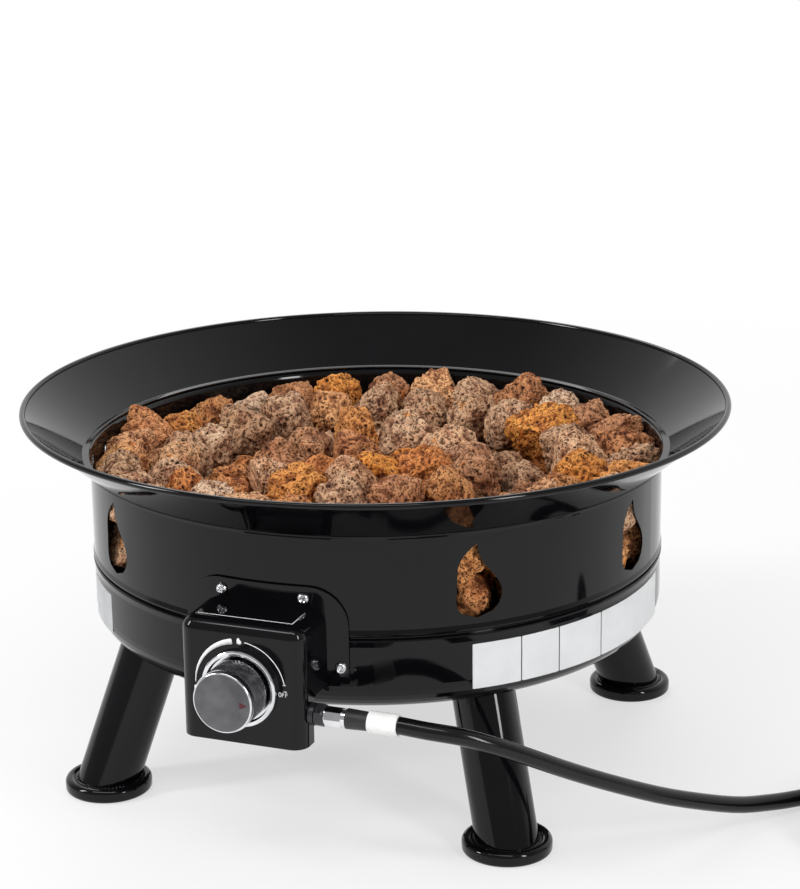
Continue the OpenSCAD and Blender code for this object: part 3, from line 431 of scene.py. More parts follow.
class Sheet(Nodes):
    """A new material on Object coordinates, with its shader and its output."""

    def __init__(self, name: str) -> None:
        """Starts the material.

        Args:
            name: Its name.
        """
        self.material = bpy.data.materials.new(name)
        self.material.use_nodes = True
        super().__init__(self.material.node_tree, "Object")
        self.shader = self.add("BsdfPrincipled")
        self.output = self.add("OutputMaterial", {0: self.shader.outputs[0]})

    def noise(self, scale: float, detail: float) -> Socket:
        """A noise from 0 to 1, by its lumps per metre and its number of finer layers."""
        return self.add("TexNoise", {"Vector": self.place, "Scale": scale, "Detail": detail}).outputs["Fac"]

    def cells(self, scale: float) -> Socket:
        """The distance to the nearest of scattered points, with a number of cells per metre."""
        return self.add("TexVoronoi", {"Vector": self.place, "Scale": scale}).outputs["Distance"]

    def rings(self, scale: float, axis_at: Triple) -> Socket:
        """Fine uneven rings about a Y axis, as a lathe or a spun brush leaves.

        Args:
            scale: Rings per metre.
            axis_at: A point on the axis.

        Returns:
            The height from 0 to 1.
        """
        centred = self.add("Mapping", {"Vector": self.place, "Location": [-x for x in axis_at]})
        wave = self.add("TexWave", {"Vector": centred.outputs[0], "Scale": scale, "Distortion": 1.5,
                                    "Detail": 3.0}, wave_type="RINGS", rings_direction="Y")
        return wave.outputs["Fac"]

    def value(self, attribute: str) -> Socket:
        """A mesh attribute's value."""
        return self.add("Attribute", attribute_name=attribute).outputs["Fac"]

    def ramp(self, source: Socket, stops: Stops) -> Socket:
        """Colours along a factor.

        Args:
            source: The factor.
            stops: Position and colour of each stop, in order.

        Returns:
            The colour.
        """
        node = self.add("ValToRGB", {0: source})
        marks = node.color_ramp.elements
        while len(marks) < len(stops):
            marks.new(0.5)
        for mark, (at, colour) in zip(marks, stops):
            mark.position = at
            mark.color = (*colour, 1.0)
        return node.outputs[0]

    def times(self, first: Socket, second: Socket) -> Socket:
        """Two colours multiplied."""
        return self.add("Mix", {"Factor": 1.0, "A": first, "B": second}, data_type="RGBA",
                        blend_type="MULTIPLY").outputs["Result"]

    def bump(self, height: Socket, depth: float, strength: float = 1.0, below: Socket | None = None
             ) -> Socket:
        """A bumped normal.

        Args:
            height: The height from 0 to 1.
            depth: The real height at 1.
            strength: How much of it shows.
            below: A normal to add it to.

        Returns:
            The normal.
        """
        inputs = {"Distance": depth, "Strength": strength, "Height": height}
        if below is not None:
            inputs["Normal"] = below
        return self.add("Bump", inputs).outputs[0]


# ---- Finishes ----

COLOUR_LAYERS = 5.0
GLOSS_LAYERS = 6.0
GRAIN_LAYERS = 2.0


@dataclass(frozen=True)
class Finish:
    """A surface finish: two colours that drift into each other, a range of gloss and a grain.

    drift counts the colour's lumps and fine the grain's, both per metre. depth is the grain's
    height.
    """

    name: str
    slot: str
    dark: Triple
    light: Triple
    gloss: tuple[float, float]
    grain: Grain = Grain.SOFT
    metal: float = 0.0
    drift: float = 30.0
    fine: float = 900.0
    depth: float = 0.02 * MM
    specular: float = 0.5
    spun_about: Triple = (0.0, 0.0, 0.0)
    dark_at: float = 0.32
    light_at: float = 0.68
    gloss_to_drift: float = 2.3

    def material(self) -> bpy.types.Material:
        """Builds the finish's material.

        Returns:
            The new material.
        """
        sheet = Sheet(self.name)
        stops = ((self.dark_at, self.dark), (self.light_at, self.light))
        patchy = sheet.noise(self.drift * self.gloss_to_drift, GLOSS_LAYERS)
        sheet.fill(sheet.shader, {
            "Metallic": self.metal,
            "Specular IOR Level": self.specular,
            "Base Color": sheet.ramp(sheet.noise(self.drift, COLOUR_LAYERS), stops),
            "Roughness": sheet.spread(patchy, *self.gloss),
            "Normal": sheet.bump(self._height(sheet), self.depth)})
        return sheet.material

    def _height(self, sheet: Sheet) -> Socket:
        """The fine height that the grain gives.

        Args:
            sheet: The material in the making.

        Returns:
            The height from 0 to 1.
        """
        if self.grain is Grain.SPUN:
            return sheet.rings(self.fine, self.spun_about)
        if self.grain is Grain.CAST:
            return sheet.cells(self.fine)
        return sheet.noise(self.fine, GRAIN_LAYERS)


@dataclass(frozen=True)
class RockFinish:
    """Porous lava: pale or brown by stone, with orange tones that are painted firelight, mottled, and
    darkened in its dents and pores by painted shade.

    Each noise is given as its lumps per metre and its number of finer layers. pore_cells counts
    the cells per metre of the large and the small pores, and pore_walls says how far from its
    middle each pore's wall starts and ends, in cells.
    """

    name: str = "lava_stone"
    slot: str = "lava_rock"
    tone: str = "stone_tone"
    pit: str = "stone_pit"
    # tan, pale and brown stops are the stone's own tone; the orange stops are painted firelight
    stones_and_firelight: Stops = ((0.0, (0.62, 0.42, 0.28)), (0.22, (0.78, 0.56, 0.40)), (0.42, (0.80, 0.32, 0.08)),
                     (0.6, (0.56, 0.33, 0.21)), (0.8, (0.92, 0.42, 0.09)), (1.0, (0.80, 0.63, 0.49)))
    # the orange stop of the mottle is painted firelight
    mottle_and_firelight: Stops = ((0.34, (0.42, 0.27, 0.20)), (0.47, (0.95, 0.80, 0.68)), (0.62, (1.0, 0.94, 0.84)),
                     (0.74, (1.0, 0.58, 0.25)))
    # painted shade: darkens the stone inside its pores, where shade falls
    painted_pore_shade: Stops = ((0.0, WHITE), (0.75, (0.10, 0.055, 0.04)))
    specks: Stops = ((0.34, (0.58, 0.5, 0.46)), (0.58, WHITE))
    # painted shade: darkens the stone in its dents, where shade falls
    painted_dent_shade: Stops = ((0.1, WHITE), (0.8, (0.16, 0.09, 0.06)))
    mottle_noise: tuple[float, float] = (70.0, 6.0)
    speck_noise: tuple[float, float] = (1300.0, 5.0)
    crowd_noise: tuple[float, float] = (120.0, 2.0)
    crowd: tuple[float, float] = (0.4, 0.62)
    pore_cells: tuple[float, float] = (170.0, 480.0)
    pore_walls: tuple[tuple[float, float], ...] = ((0.14, 0.34), (0.16, 0.4))
    small_pore: float = 0.75
    gloss: tuple[float, float] = (0.75, 0.95)
    specular: float = 0.25
    speck_height: float = 0.5 * MM
    speck_strength: float = 0.9
    pore_depth: float = 1.6 * MM

    def material(self) -> bpy.types.Material:
        """Builds the stone's material from each stone's tone, with painted firelight in its orange tones and
        painted shade in its dents and two sizes of pore.

        Returns:
            The new material.
        """
        sheet = Sheet(self.name)
        specks, pores = sheet.noise(*self.speck_noise), self._pores(sheet)
        colour = sheet.ramp(sheet.value(self.tone), self.stones_and_firelight)
        # each factor's colours are multiplied in: mottle with painted firelight, painted shade in pores,
        # specks, painted shade in dents
        for factor, stops in ((sheet.noise(*self.mottle_noise), self.mottle_and_firelight), (pores, self.painted_pore_shade),
                              (specks, self.specks), (sheet.value(self.pit), self.painted_dent_shade)):
            colour = sheet.times(colour, sheet.ramp(factor, stops))
        rough = sheet.bump(specks, self.speck_height, self.speck_strength)
        sheet.fill(sheet.shader, {
            "Specular IOR Level": self.specular,
            "Base Color": colour,
            "Roughness": sheet.spread(specks, *self.gloss),
            "Normal": sheet.bump(pores, -self.pore_depth, 1.0, rough)})
        return sheet.material

    def _pores(self, sheet: Sheet) -> Socket:
        """Round pores of two sizes, of which the large ones stand in crowds.

        Args:
            sheet: The material in the making.

        Returns:
            1 in a pore's middle and 0 outside.
        """
        large, small = (sheet.spread(sheet.cells(scale), 1.0, 0.0, *wall)
                        for scale, wall in zip(self.pore_cells, self.pore_walls))
        crowd = sheet.spread(sheet.noise(*self.crowd_noise), 0.0, 1.0, *self.crowd)
        return sheet.maths("MAXIMUM", sheet.maths("MULTIPLY", large, crowd),
                           sheet.maths("MULTIPLY", small, self.small_pore))


@dataclass(frozen=True)
class Palette:
    """All the finishes of the fire bowl, one for each material of the real one."""

    enamel: Finish = Finish("gloss_black_enamel", "gloss_enamel", (0.0018, 0.0018, 0.0024),
                            (0.0035, 0.0035, 0.0044), (0.04, 0.09), drift=9.0, fine=420.0,
                            depth=0.006 * MM, specular=0.27)
    zinc: Finish = Finish("bright_zinc", "zinc_steel", (0.62, 0.63, 0.65), (0.80, 0.80, 0.82),
                          (0.16, 0.32), Grain.CAST, metal=1.0, drift=120.0, fine=700.0)
    hot_steel: Finish = Finish("heat_stained_steel", "burner_steel", (0.16, 0.12, 0.10),
                               (0.33, 0.26, 0.22), (0.34, 0.55), Grain.CAST, metal=1.0, drift=40.0,
                               depth=0.03 * MM)
    brass: Finish = Finish("turned_brass", "brass", (0.62, 0.44, 0.17), (0.82, 0.62, 0.28),
                           (0.18, 0.34), Grain.CAST, metal=1.0, drift=70.0, fine=1200.0)
    chrome: Finish = Finish("polished_chrome", "chrome", (0.70, 0.71, 0.73), (0.86, 0.86, 0.88),
                            (0.04, 0.12), metal=1.0, drift=60.0, fine=600.0, depth=0.008 * MM)
    face: Finish = Finish("spun_grey_face", "brushed_face", (0.10, 0.10, 0.105), (0.17, 0.17, 0.18),
                          (0.36, 0.48), Grain.SPUN, metal=0.85, drift=50.0, fine=260.0,
                          depth=0.012 * MM, spun_about=(0.0, -0.327, 0.160))
    barrel: Finish = Finish("grey_knurled_barrel", "dark_plastic", (0.07, 0.07, 0.075),
                            (0.22, 0.22, 0.23), (0.16, 0.28), Grain.CAST, metal=0.95, drift=200.0,
                            fine=1500.0, depth=0.03 * MM)
    grip: Finish = Finish("black_moulded_grip", "dark_plastic", (0.010, 0.010, 0.011),
                          (0.022, 0.022, 0.024), (0.38, 0.55), Grain.CAST, drift=40.0, fine=1800.0,
                          depth=0.03 * MM)
    nylon: Finish = Finish("natural_nylon", "pale_plastic", (0.62, 0.58, 0.46), (0.74, 0.70, 0.58),
                           (0.4, 0.5))
    fitting: Finish = Finish("black_oxide_fitting", "black_fitting", (0.010, 0.010, 0.012),
                             (0.028, 0.028, 0.032), (0.22, 0.38), Grain.CAST, drift=90.0, fine=1400.0)
    wrap: Finish = Finish("white_film_wrap", "white_tag", (0.80, 0.80, 0.79), (0.90, 0.90, 0.89),
                          (0.24, 0.36), drift=110.0, fine=500.0, depth=0.03 * MM)
    rubber: Finish = Finish("black_hose_rubber", "hose_rubber", (0.003, 0.003, 0.0035),
                            (0.006, 0.006, 0.007), (0.13, 0.2), drift=45.0, fine=700.0,
                            depth=0.012 * MM, specular=0.35)
    cast: Finish = Finish("die_cast_zinc", "cast_metal", (0.34, 0.35, 0.37), (0.47, 0.48, 0.50),
                          (0.40, 0.56), Grain.CAST, metal=0.9, drift=60.0, fine=1000.0,
                          depth=0.05 * MM)
    print_white: Finish = Finish("white_pad_print", "white_tag", (0.78, 0.78, 0.78),
                                 (0.90, 0.90, 0.90), (0.35, 0.5), drift=200.0, fine=1500.0,
                                 depth=0.01 * MM)
    print_red: Finish = Finish("dark_red_pad_print", "white_tag", (0.060, 0.003, 0.008),
                               (0.095, 0.005, 0.012), (0.35, 0.5), drift=200.0, fine=1500.0,
                               depth=0.01 * MM)
    label: Finish = Finish("white_foil_label", "white_tag", (0.70, 0.71, 0.72), (0.78, 0.79, 0.80),
                           (0.30, 0.38), fine=300.0, depth=0.012 * MM)
    foil: Finish = Finish("grey_foil_label", "white_tag", (0.36, 0.37, 0.38), (0.46, 0.47, 0.48),
                          (0.30, 0.40), fine=300.0, depth=0.012 * MM)
    stone: RockFinish = RockFinish()


def dress(piece: bpy.types.Object, finish: Finish | RockFinish) -> None:
    """Gives every material slot of an object a finish, whose material is made once.

    Args:
        piece: The object.
        finish: Its finish.
    """
    material = bpy.data.materials.get(finish.name) or finish.material()
    if not piece.material_slots:
        piece.data.materials.append(material)
    for held in piece.material_slots:
        held.material = material


def add_piece(piece: bpy.types.Object, finish: Finish | RockFinish, body: Body = Body.BOWL,
              replaces: tuple[str, ...] = ()) -> None:
    """Dresses a new piece and hands it to the frame.

    Args:
        piece: The new object.
        finish: Its finish.
        body: The body that it rides on.
        replaces: CAD nodes that it stands for.
    """
    dress(piece, finish)
    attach(piece, body.value)
    if replaces:
        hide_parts(*replaces)
    LOG.info("%s: %d faces", piece.name, len(piece.data.polygons))


# ---- Camera, floor and light ----


@dataclass(frozen=True)
class Softbox:
    """A rectangular lamp: where it hangs, its width and height, and its power."""

    name: str
    place: Triple
    size: tuple[float, float]
    watts: float

    def hang(self, aim: Triple) -> None:
        """Hangs the lamp.

        Args:
            aim: The point that it faces.
        """
        data = bpy.data.lights.new(self.name, "AREA")
        data.shape = "RECTANGLE"
        data.size, data.size_y = self.size
        data.energy = self.watts
        lamp = bpy.data.objects.new(self.name, data)
        lamp.location = self.place
        lamp.rotation_euler = (Vector(aim) - Vector(self.place)).to_track_quat("-Z", "Y").to_euler()
        bpy.context.scene.collection.objects.link(lamp)


@dataclass
class Studio:
    """The camera at the photo's angle, a pale floor and soft light.

    Plain white is mixed into the floor: near_white of it up to grey_reach, and all from
    white_reach on. Gloss sees white towards the back, where the Y of its direction is behind_y
    or more, and only dark_side towards the front.
    """

    azimuth: float = 21.1
    elevation: float = 16.78
    roll: float = 0.73
    eye: Triple = (0.7678, -1.9324, 0.8997)
    focal_px: float = 2500.0
    long_side_px: float = 889.0
    sensor: float = 36.0
    clip: tuple[float, float] = (0.05, 60.0)
    floor_half: float = 14.0
    floor_z: float = -0.2 * MM
    floor_noise: tuple[float, float] = (3.0, 4.0)
    floor_tones: Stops = ((0.3, (0.87, 0.87, 0.87)), (0.7, (0.89, 0.89, 0.89)))
    near_white: float = 0.58
    grey_reach: float = 0.55
    white_reach: float = 1.7
    sky: float = 0.5
    dark_side: float = 0.35
    behind_y: float = 0.6
    aim: Triple = (0.0, 0.0, 0.2)
    lamps: tuple[Softbox, ...] = (
        Softbox("left_softbox", (-2.0, -1.5, 1.5), (0.4, 1.2), 34.0),
        Softbox("right_softbox", (2.4, -1.3, 1.4), (0.4, 1.2), 30.0),
        Softbox("rear_softbox", (-0.9, 1.6, 2.2), (1.6, 1.1), 22.0),
        Softbox("front_strip", (0.0, -1.4, 2.3), (2.2, 0.35), 18.0))

    def camera(self) -> None:
        """Makes the camera: back from azimuth and elevation, and up turned by the roll."""
        a, e, r = (math.radians(x) for x in (self.azimuth, self.elevation, self.roll))
        back = Vector((math.sin(a) * math.cos(e), -math.cos(a) * math.cos(e), math.sin(e)))
        level = Vector((math.cos(a), math.sin(a), 0.0))
        right = math.cos(r) * level - math.sin(r) * back.cross(level)
        turn = Matrix((right, back.cross(right), back)).transposed().to_4x4()
        data = bpy.data.cameras.new("photo_camera")
        data.sensor_width = self.sensor
        data.lens = self.focal_px * self.sensor / self.long_side_px
        data.clip_start, data.clip_end = self.clip
        camera = bpy.data.objects.new("photo_camera", data)
        camera.matrix_world = Matrix.Translation(Vector(self.eye)) @ turn
        bpy.context.scene.collection.objects.link(camera)
        bpy.context.scene.camera = camera

    def floor(self) -> None:
        """Lays the pale floor, which keeps the object's shadow and turns white farther out."""
        corners = [(x, y, self.floor_z) for x, y in ((-1, -1), (1, -1), (1, 1), (-1, 1))]
        corners = np.array(corners) * [self.floor_half, self.floor_half, 1.0]
        floor = make_mesh("studio_floor", corners, [[0, 1, 2, 3]])
        sheet = Sheet("pale_floor")
        tones = sheet.ramp(sheet.noise(*self.floor_noise), self.floor_tones)
        sheet.fill(sheet.shader, {"Roughness": 0.6, "Specular IOR Level": 0.2, "Base Color": tones})
        reach = sheet.add("VectorMath", {0: sheet.place}, operation="LENGTH").outputs["Value"]
        share = sheet.spread(reach, self.near_white, 1.0, self.grey_reach, self.white_reach)
        seen = sheet.rays("Camera", "Glossy", "Transmission")
        blend = sheet.add("MixShader", {0: sheet.maths("MULTIPLY", seen, share),
                                        1: sheet.shader.outputs[0],
                                        2: sheet.add("Emission").outputs[0]})
        sheet.fill(sheet.output, {0: blend.outputs[0]})
        floor.data.materials.append(sheet.material)

    def world(self) -> None:
        """Makes the surroundings: white to the eye, sky for plain light, and dim for gloss in front."""
        world = bpy.data.worlds.new("studio")
        bpy.context.scene.world = world
        world.use_nodes = True
        nodes = Nodes(world.node_tree, "Generated")
        facing = nodes.add("SeparateXYZ", {0: nodes.place}).outputs["Y"]
        behind = nodes.spread(facing, self.dark_side, 1.0, 0.0, self.behind_y)
        light = nodes.add("Mix", {"Factor": nodes.rays("Glossy"), "A": self.sky, "B": behind})
        level = nodes.add("Mix", {"Factor": nodes.rays("Camera", "Transmission"),
                                  "A": light.outputs["Result"], "B": 1.0})
        glow = nodes.add("Background", {"Color": (*WHITE, 1.0), "Strength": level.outputs["Result"]})
        nodes.add("OutputWorld", {0: glow.outputs[0]})

    def build(self) -> None:
        """Makes the floor, the world and the lamps."""
        self.floor()
        self.world()
        for lamp in self.lamps:
            lamp.hang(self.aim)
        bpy.context.scene.view_settings.view_transform = "Standard"


# ---- Gas hose ----


@dataclass
class GasHose:
    """The gas hose: out of its ferrule, down to the ground, and the spare length in a coil."""

    across: float = 14.0 * MM
    start: Triple = (0.101, -0.2776, 0.139)
    tag_length: float = 24.0 * MM
    tag_middle: float = 0.6
    past_tag: float = 3.0 * MM
    descent: tuple[Triple, ...] = (
        (0.148, -0.2763, 0.1372), (0.174, -0.267, 0.132), (0.196, -0.253, 0.122),
        (0.216, -0.234, 0.108), (0.241, -0.206, 0.088), (0.270, -0.172, 0.066),
        (0.303, -0.130, 0.042), (0.342, -0.081, 0.020), (0.366, -0.050, 0.012),
        (0.387, -0.026, 0.0091))
    heading: float = 45.0
    join: Triple = (0.432, 0.020, 0.0086)
    coil_radius: float = 95.0 * MM
    pitch: float = 14.6 * MM
    layer_turns: float = 2.25
    climb_turns: float = 0.625
    rings_a_turn: int = 48
    rings_a_span: int = 4
    sides: int = 20
    carried: tuple[str, ...] = (
        "hose_ferrule", "hose_sleeve", "hose_tag", "coil_tie", "end_ferrule", "regulator_body",
        "regulator_bonnet", "bonnet_screws", "coupling_nipple", "coupling_nut")
    route: Array = field(init=False)
    length: float = field(init=False)

    def __post_init__(self) -> None:
        """Works out the whole route, from the ferrule to the regulator's ferrule, and its length."""
        along = np.array([math.cos(math.radians(self.heading)), math.sin(math.radians(self.heading)), 0.0])
        x, y, z = self.start
        join = np.array(self.join)
        free = np.array([
            self.start, (x + self.tag_middle * self.tag_length, y, z),
            (x + self.tag_length + self.past_tag, y, z), *self.descent,
            join - 2 * self.across * along, join - self.across * along, join])
        coil = self._coil(join + self.coil_radius * np.array([along[1], -along[0], 0.0]))
        lead = coil[-1:] + self.across * RIGHT
        self.route = np.concatenate([spline(free, self.rings_a_span)[:-1], coil, lead])
        self.length = float(np.linalg.norm(np.diff(self.route, axis=0), axis=1).sum())

    def _coil(self, centre: Array) -> Array:
        """The coil: it winds in on the ground, climbs by (1 - cos 180s)/2 and winds out on top.

        Args:
            centre: The point about which it winds.

        Returns:
            The coil's points, from the join to its end.
        """
        turns = 2 * self.layer_turns + self.climb_turns
        t = np.linspace(0.0, turns, round(turns * self.rings_a_turn) + 1)
        radius = self.coil_radius - self.pitch * np.minimum(t, turns - t)
        angle = np.radians(90.0 + self.heading - 360.0 * t)
        share = np.clip((t - self.layer_turns) / self.climb_turns, 0.0, 1.0)
        climbed = self.pitch * (1.0 - np.cos(np.pi * share)) / 2.0
        return centre + np.stack([radius * np.cos(angle), radius * np.sin(angle), climbed], axis=-1)

    def build(self, palette: Palette) -> None:
        """Args:
            palette: The finishes.
        """
        hose = make_mesh("gas_hose", *sweep(self.route, self.across / 2, self.sides))
        add_piece(hose, palette.rubber, replaces=("hose_run", "hose_coil"))
        LOG.info("hose is %.3f m long", self.length)


# ---- Lava rock ----


@dataclass(frozen=True)
class Roughness:
    """Noise or pits on a rock of radius 1: how high, how many to a radius, and its seed."""

    height: float
    often: float
    seed: int

    def noise(self, shape: Array, shift: Array) -> Array:
        """The height of soft noise at each point of a rock."""
        return self.height * soft_noise(shape * self.often + shift, self.seed)

    def holes(self, shape: Array, shift: Array) -> Array:
        """How far each point of a rock lies in a pit, from 0 to 1."""
        return pits(shape * self.often + shift, self.seed)


@dataclass(frozen=True)
class RockGroup:
    """Rocks that make one piece: its name, the CAD node that it stands for, how much larger its
    rocks are than the bed's radii, and the seed of their shapes."""

    name: str
    node: str
    larger: float
    seed: int


@dataclass
class LavaBed:
    """The bed of lava rock: two layers of rocks laid in rings, each a broken porous lump."""

    # What the rocks lie in and on
    shell_r: float = 247.0 * MM
    sheet: float = 1.2 * MM
    hearth_z: float = 188.7 * MM
    burner_r: float = 110.0 * MM
    burner_d: float = 19.0 * MM
    burner_z: float = 204.2 * MM

    # The rocks and how they are laid
    low_r: float = 22.0 * MM
    top_r: float = 20.0 * MM
    vary: float = 0.8 * MM
    vary_steps: tuple[float, float] = (137.5, 61.9)
    vary_starts: tuple[float, float] = (356.5, 148.5)
    rest_gap: float = 0.25 * MM
    middle_ring: float = 27.0 * MM
    burner_gap: float = 2.0 * MM
    between_rings: float = 5.0 * MM
    low_to_wall: float = 3.0 * MM
    top_to_wall: float = 2.5 * MM
    low_counts: tuple[int, ...] = (3, 10, 23, 29)
    low_turns: tuple[float, ...] = (10.0, 18.0, 4.0, 0.0)
    rings: int = 5
    crowd: float = 6.15
    ring_turn: float = 17.0

    # The shape of a rock, as shares of its radius
    stretch: tuple[float, float] = (0.82, 1.2)
    growth: tuple[float, float] = (0.88, 1.2)
    swell: float = 1.09
    field_reach: float = 60.0
    lumps: tuple[Roughness, Roughness] = (Roughness(0.22, 1.6, 11), Roughness(0.1, 3.9, 12))
    breaks: int = 11
    break_at: tuple[float, float] = (0.72, 0.98)
    broken_off: float = 0.86
    dents: tuple[Roughness, Roughness] = (Roughness(0.15, 2.9, 21), Roughness(0.09, 6.0, 31))
    grit: Roughness = Roughness(0.05, 9.0, 13)
    # how much the large dents count in the painted shade of the dents
    large_dent_shade: float = 0.75
    keep_off: float = 0.6 * MM

    # The pieces
    low_group: RockGroup = RockGroup("lava_low", "lava_rocks_low", 1.0, 5)
    top_groups: tuple[RockGroup, ...] = (RockGroup("lava_inner", "lava_rocks_inner", 1.18, 50),
                                         RockGroup("lava_outer", "lava_rocks_outer", 1.2, 50),
                                         RockGroup("lava_edge", "lava_rocks_outer", 1.24, 49))
    coarse_level: int = 4
    fine_level: int = 5

    def ring_spots(self, rings: list[tuple[float, int, float]]) -> Array:
        """Places of rocks on rings about the bowl's axis.

        Args:
            rings: Radius, number of rocks and turn of the first rock of each ring.

        Returns:
            One row of x and y per rock.
        """
        spots = []
        for radius, count, turn in rings:
            a = np.radians(turn + 360.0 * np.arange(count) / count)
            spots.append(radius * np.stack([np.cos(a), np.sin(a)], axis=-1))
        return np.concatenate(spots)

    def low_spots(self) -> Array:
        """Places of the lower rocks, on the hearth inside and outside the burner ring.

        Returns:
            One row of x and y per rock.
        """
        wall = self.shell_r - self.sheet
        radii = (self.middle_ring, self.burner_r - self.burner_d / 2 - self.low_r - self.burner_gap,
                 wall - 3 * self.low_r - self.between_rings, wall - self.low_r - self.low_to_wall)
        return self.ring_spots(list(zip(radii, self.low_counts, self.low_turns)))

    def top_counts(self) -> list[int]:
        """Numbers of upper rocks: one in the middle, and so many more on each ring."""
        return [1] + [round(self.crowd * i) for i in range(1, self.rings + 1)]

    def top_spots(self) -> Array:
        """Places of the upper rocks, on evenly spaced rings out to the shell.

        Returns:
            One row of x and y per rock.
        """
        span = self.shell_r - self.sheet - self.top_r - self.vary - self.top_to_wall
        return self.ring_spots([(span * i / self.rings, count, self.ring_turn * i)
                                for i, count in enumerate(self.top_counts())])

    def top_radii(self, count: int) -> Array:
        """Radii of the upper rocks: the average plus vary * sin a * cos b.

        Args:
            count: Number of rocks.

        Returns:
            The radii, with angles a and b that go on by vary_steps from rock to rock.
        """
        a, b = (np.radians(np.arange(count) * step + start)
                for step, start in zip(self.vary_steps, self.vary_starts))
        return self.top_r + self.vary * np.sin(a) * np.cos(b)

    def rest_heights(self, spots: Array, radii: Array, low: Array) -> Array:
        """Heights at which the upper rocks rest: the highest of hearth, burner and lower rocks.

        Args:
            spots: Places of the upper rocks.
            radii: Their radii.
            low: Places of the lower rocks.

        Returns:
            The height of each rock's middle.
        """
        def resting(apart: Array, touch: Array, height: float) -> Array:
            """Height of a rock on something round: height + sqrt(touch^2 - apart^2), or 0 clear of it."""
            return np.where(apart < touch, height + np.sqrt(np.maximum(touch**2 - apart**2, 0.0)), 0.0)

        low_z = self.hearth_z + self.low_r + self.rest_gap
        on_low = resting(np.linalg.norm(spots[:, None] - low[None], axis=-1),
                         radii[:, None] + self.low_r + self.rest_gap, low_z)
        on_burner = resting(np.abs(np.linalg.norm(spots, axis=-1) - self.burner_r),
                            radii + self.burner_d / 2 + self.rest_gap, self.burner_z)
        on_hearth = self.hearth_z + radii + self.rest_gap
        return np.maximum(np.maximum(on_low.max(axis=1), on_burner), on_hearth)

    def ball(self, level: int) -> tuple[Array, Array]:
        """An evenly divided ball of radius 1.

        Args:
            level: Number of divisions of its twenty faces.

        Returns:
            Its points and three-sided faces.
        """
        work = bmesh.new()
        bmesh.ops.create_icosphere(work, subdivisions=level, radius=1.0)
        points = np.array([v.co[:] for v in work.verts])
        faces = np.array([[v.index for v in f.verts] for f in work.faces])
        work.free()
        return points, faces

    def broken(self, shape: Array, chance: np.random.Generator, larger: float) -> Array:
        """Rocks cut back behind planes as if broken: p - broken_off * max(p.n - limit, 0) n.

        Args:
            shape: Each rock's points, about its middle.
            chance: Where the planes come from.
            larger: How much larger the rocks are.

        Returns:
            The points after all breaks.
        """
        count = len(shape)
        for _ in range(self.breaks):
            facing = chance.normal(size=(count, 1, 3))
            facing /= np.linalg.norm(facing, axis=-1, keepdims=True)
            limit = larger * chance.uniform(*self.break_at, (count, 1, 1))
            past = np.maximum((shape * facing).sum(axis=-1, keepdims=True) - limit, 0.0)
            shape = shape - self.broken_off * past * facing
        return shape

    def rocks(self, group: RockGroup, middles: Array, radii: Array, level: int) -> bpy.types.Object:
        """Many rocks as one piece.

        Each is a ball stretched along three axes, swollen by soft noise, cut back as if broken,
        and dented by two sizes of pit.

        Args:
            group: Which rocks.
            middles: One row of x, y and z per rock.
            radii: Their radii.
            level: Divisions of the ball.

        Returns:
            The object, with each rock's tone, and how deep its dents are for the painted shade in them, as
            attributes.
        """
        ball, faces = self.ball(level)
        chance = np.random.default_rng(group.seed)
        count = len(middles)
        stretch = (chance.uniform(*self.stretch, (count, 1, 3))
                   * chance.uniform(*self.growth, (count, 1, 1)))
        axes = np.linalg.qr(chance.normal(size=(count, 3, 3)))[0]
        shift = chance.uniform(-self.field_reach, self.field_reach, (count, 1, 3))
        shape = np.einsum("nij,nmj->nmi", axes, ball[None] * stretch) * self.swell * group.larger
        shape = shape * (1.0 + sum(lump.noise(shape, shift) for lump in self.lumps))[..., None]
        shape = self.broken(shape, chance, group.larger)
        outward = ball / np.linalg.norm(ball, axis=-1)[:, None]
        outward = np.einsum("nij,nmj->nmi", axes, np.broadcast_to(outward, shape.shape))
        holes = [dent.holes(shape, shift) for dent in self.dents]
        dented = sum(dent.height * hole for dent, hole in zip(self.dents, holes))
        shape = shape - (dented - self.grit.noise(shape, shift))[..., None] * outward
        points = self._inside((middles[:, None] + shape * radii[:, None, None]).reshape(-1, 3))
        all_faces = (faces[None] + (np.arange(count) * len(ball))[:, None, None]).reshape(-1, 3)
        piece = make_mesh(group.name, points, all_faces)
        tones = np.repeat(chance.uniform(0.0, 1.0, count), len(ball))
        # depth in the dents, which the stone's material darkens as painted shade
        dent_shade = np.maximum(self.large_dent_shade * holes[0], holes[1]).ravel()
        for attribute, values in ((RockFinish.tone, tones), (RockFinish.pit, dent_shade)):
            piece.data.attributes.new(attribute, "FLOAT", "POINT").data.foreach_set("value", values)
        return piece

    def _inside(self, points: Array) -> Array:
        """Keeps points off the shell's wall and the hearth plate.

        Args:
            points: One row of x, y and z per point.

        Returns:
            The points, moved in towards the axis and up where they are too near.
        """
        limit = self.shell_r - self.sheet - self.keep_off
        reach = np.linalg.norm(points[:, :2], axis=1)
        points[:, :2] *= np.minimum(1.0, limit / np.maximum(reach, 1e-9))[:, None]
        points[:, 2] = np.maximum(points[:, 2], self.hearth_z + self.keep_off)
        return points

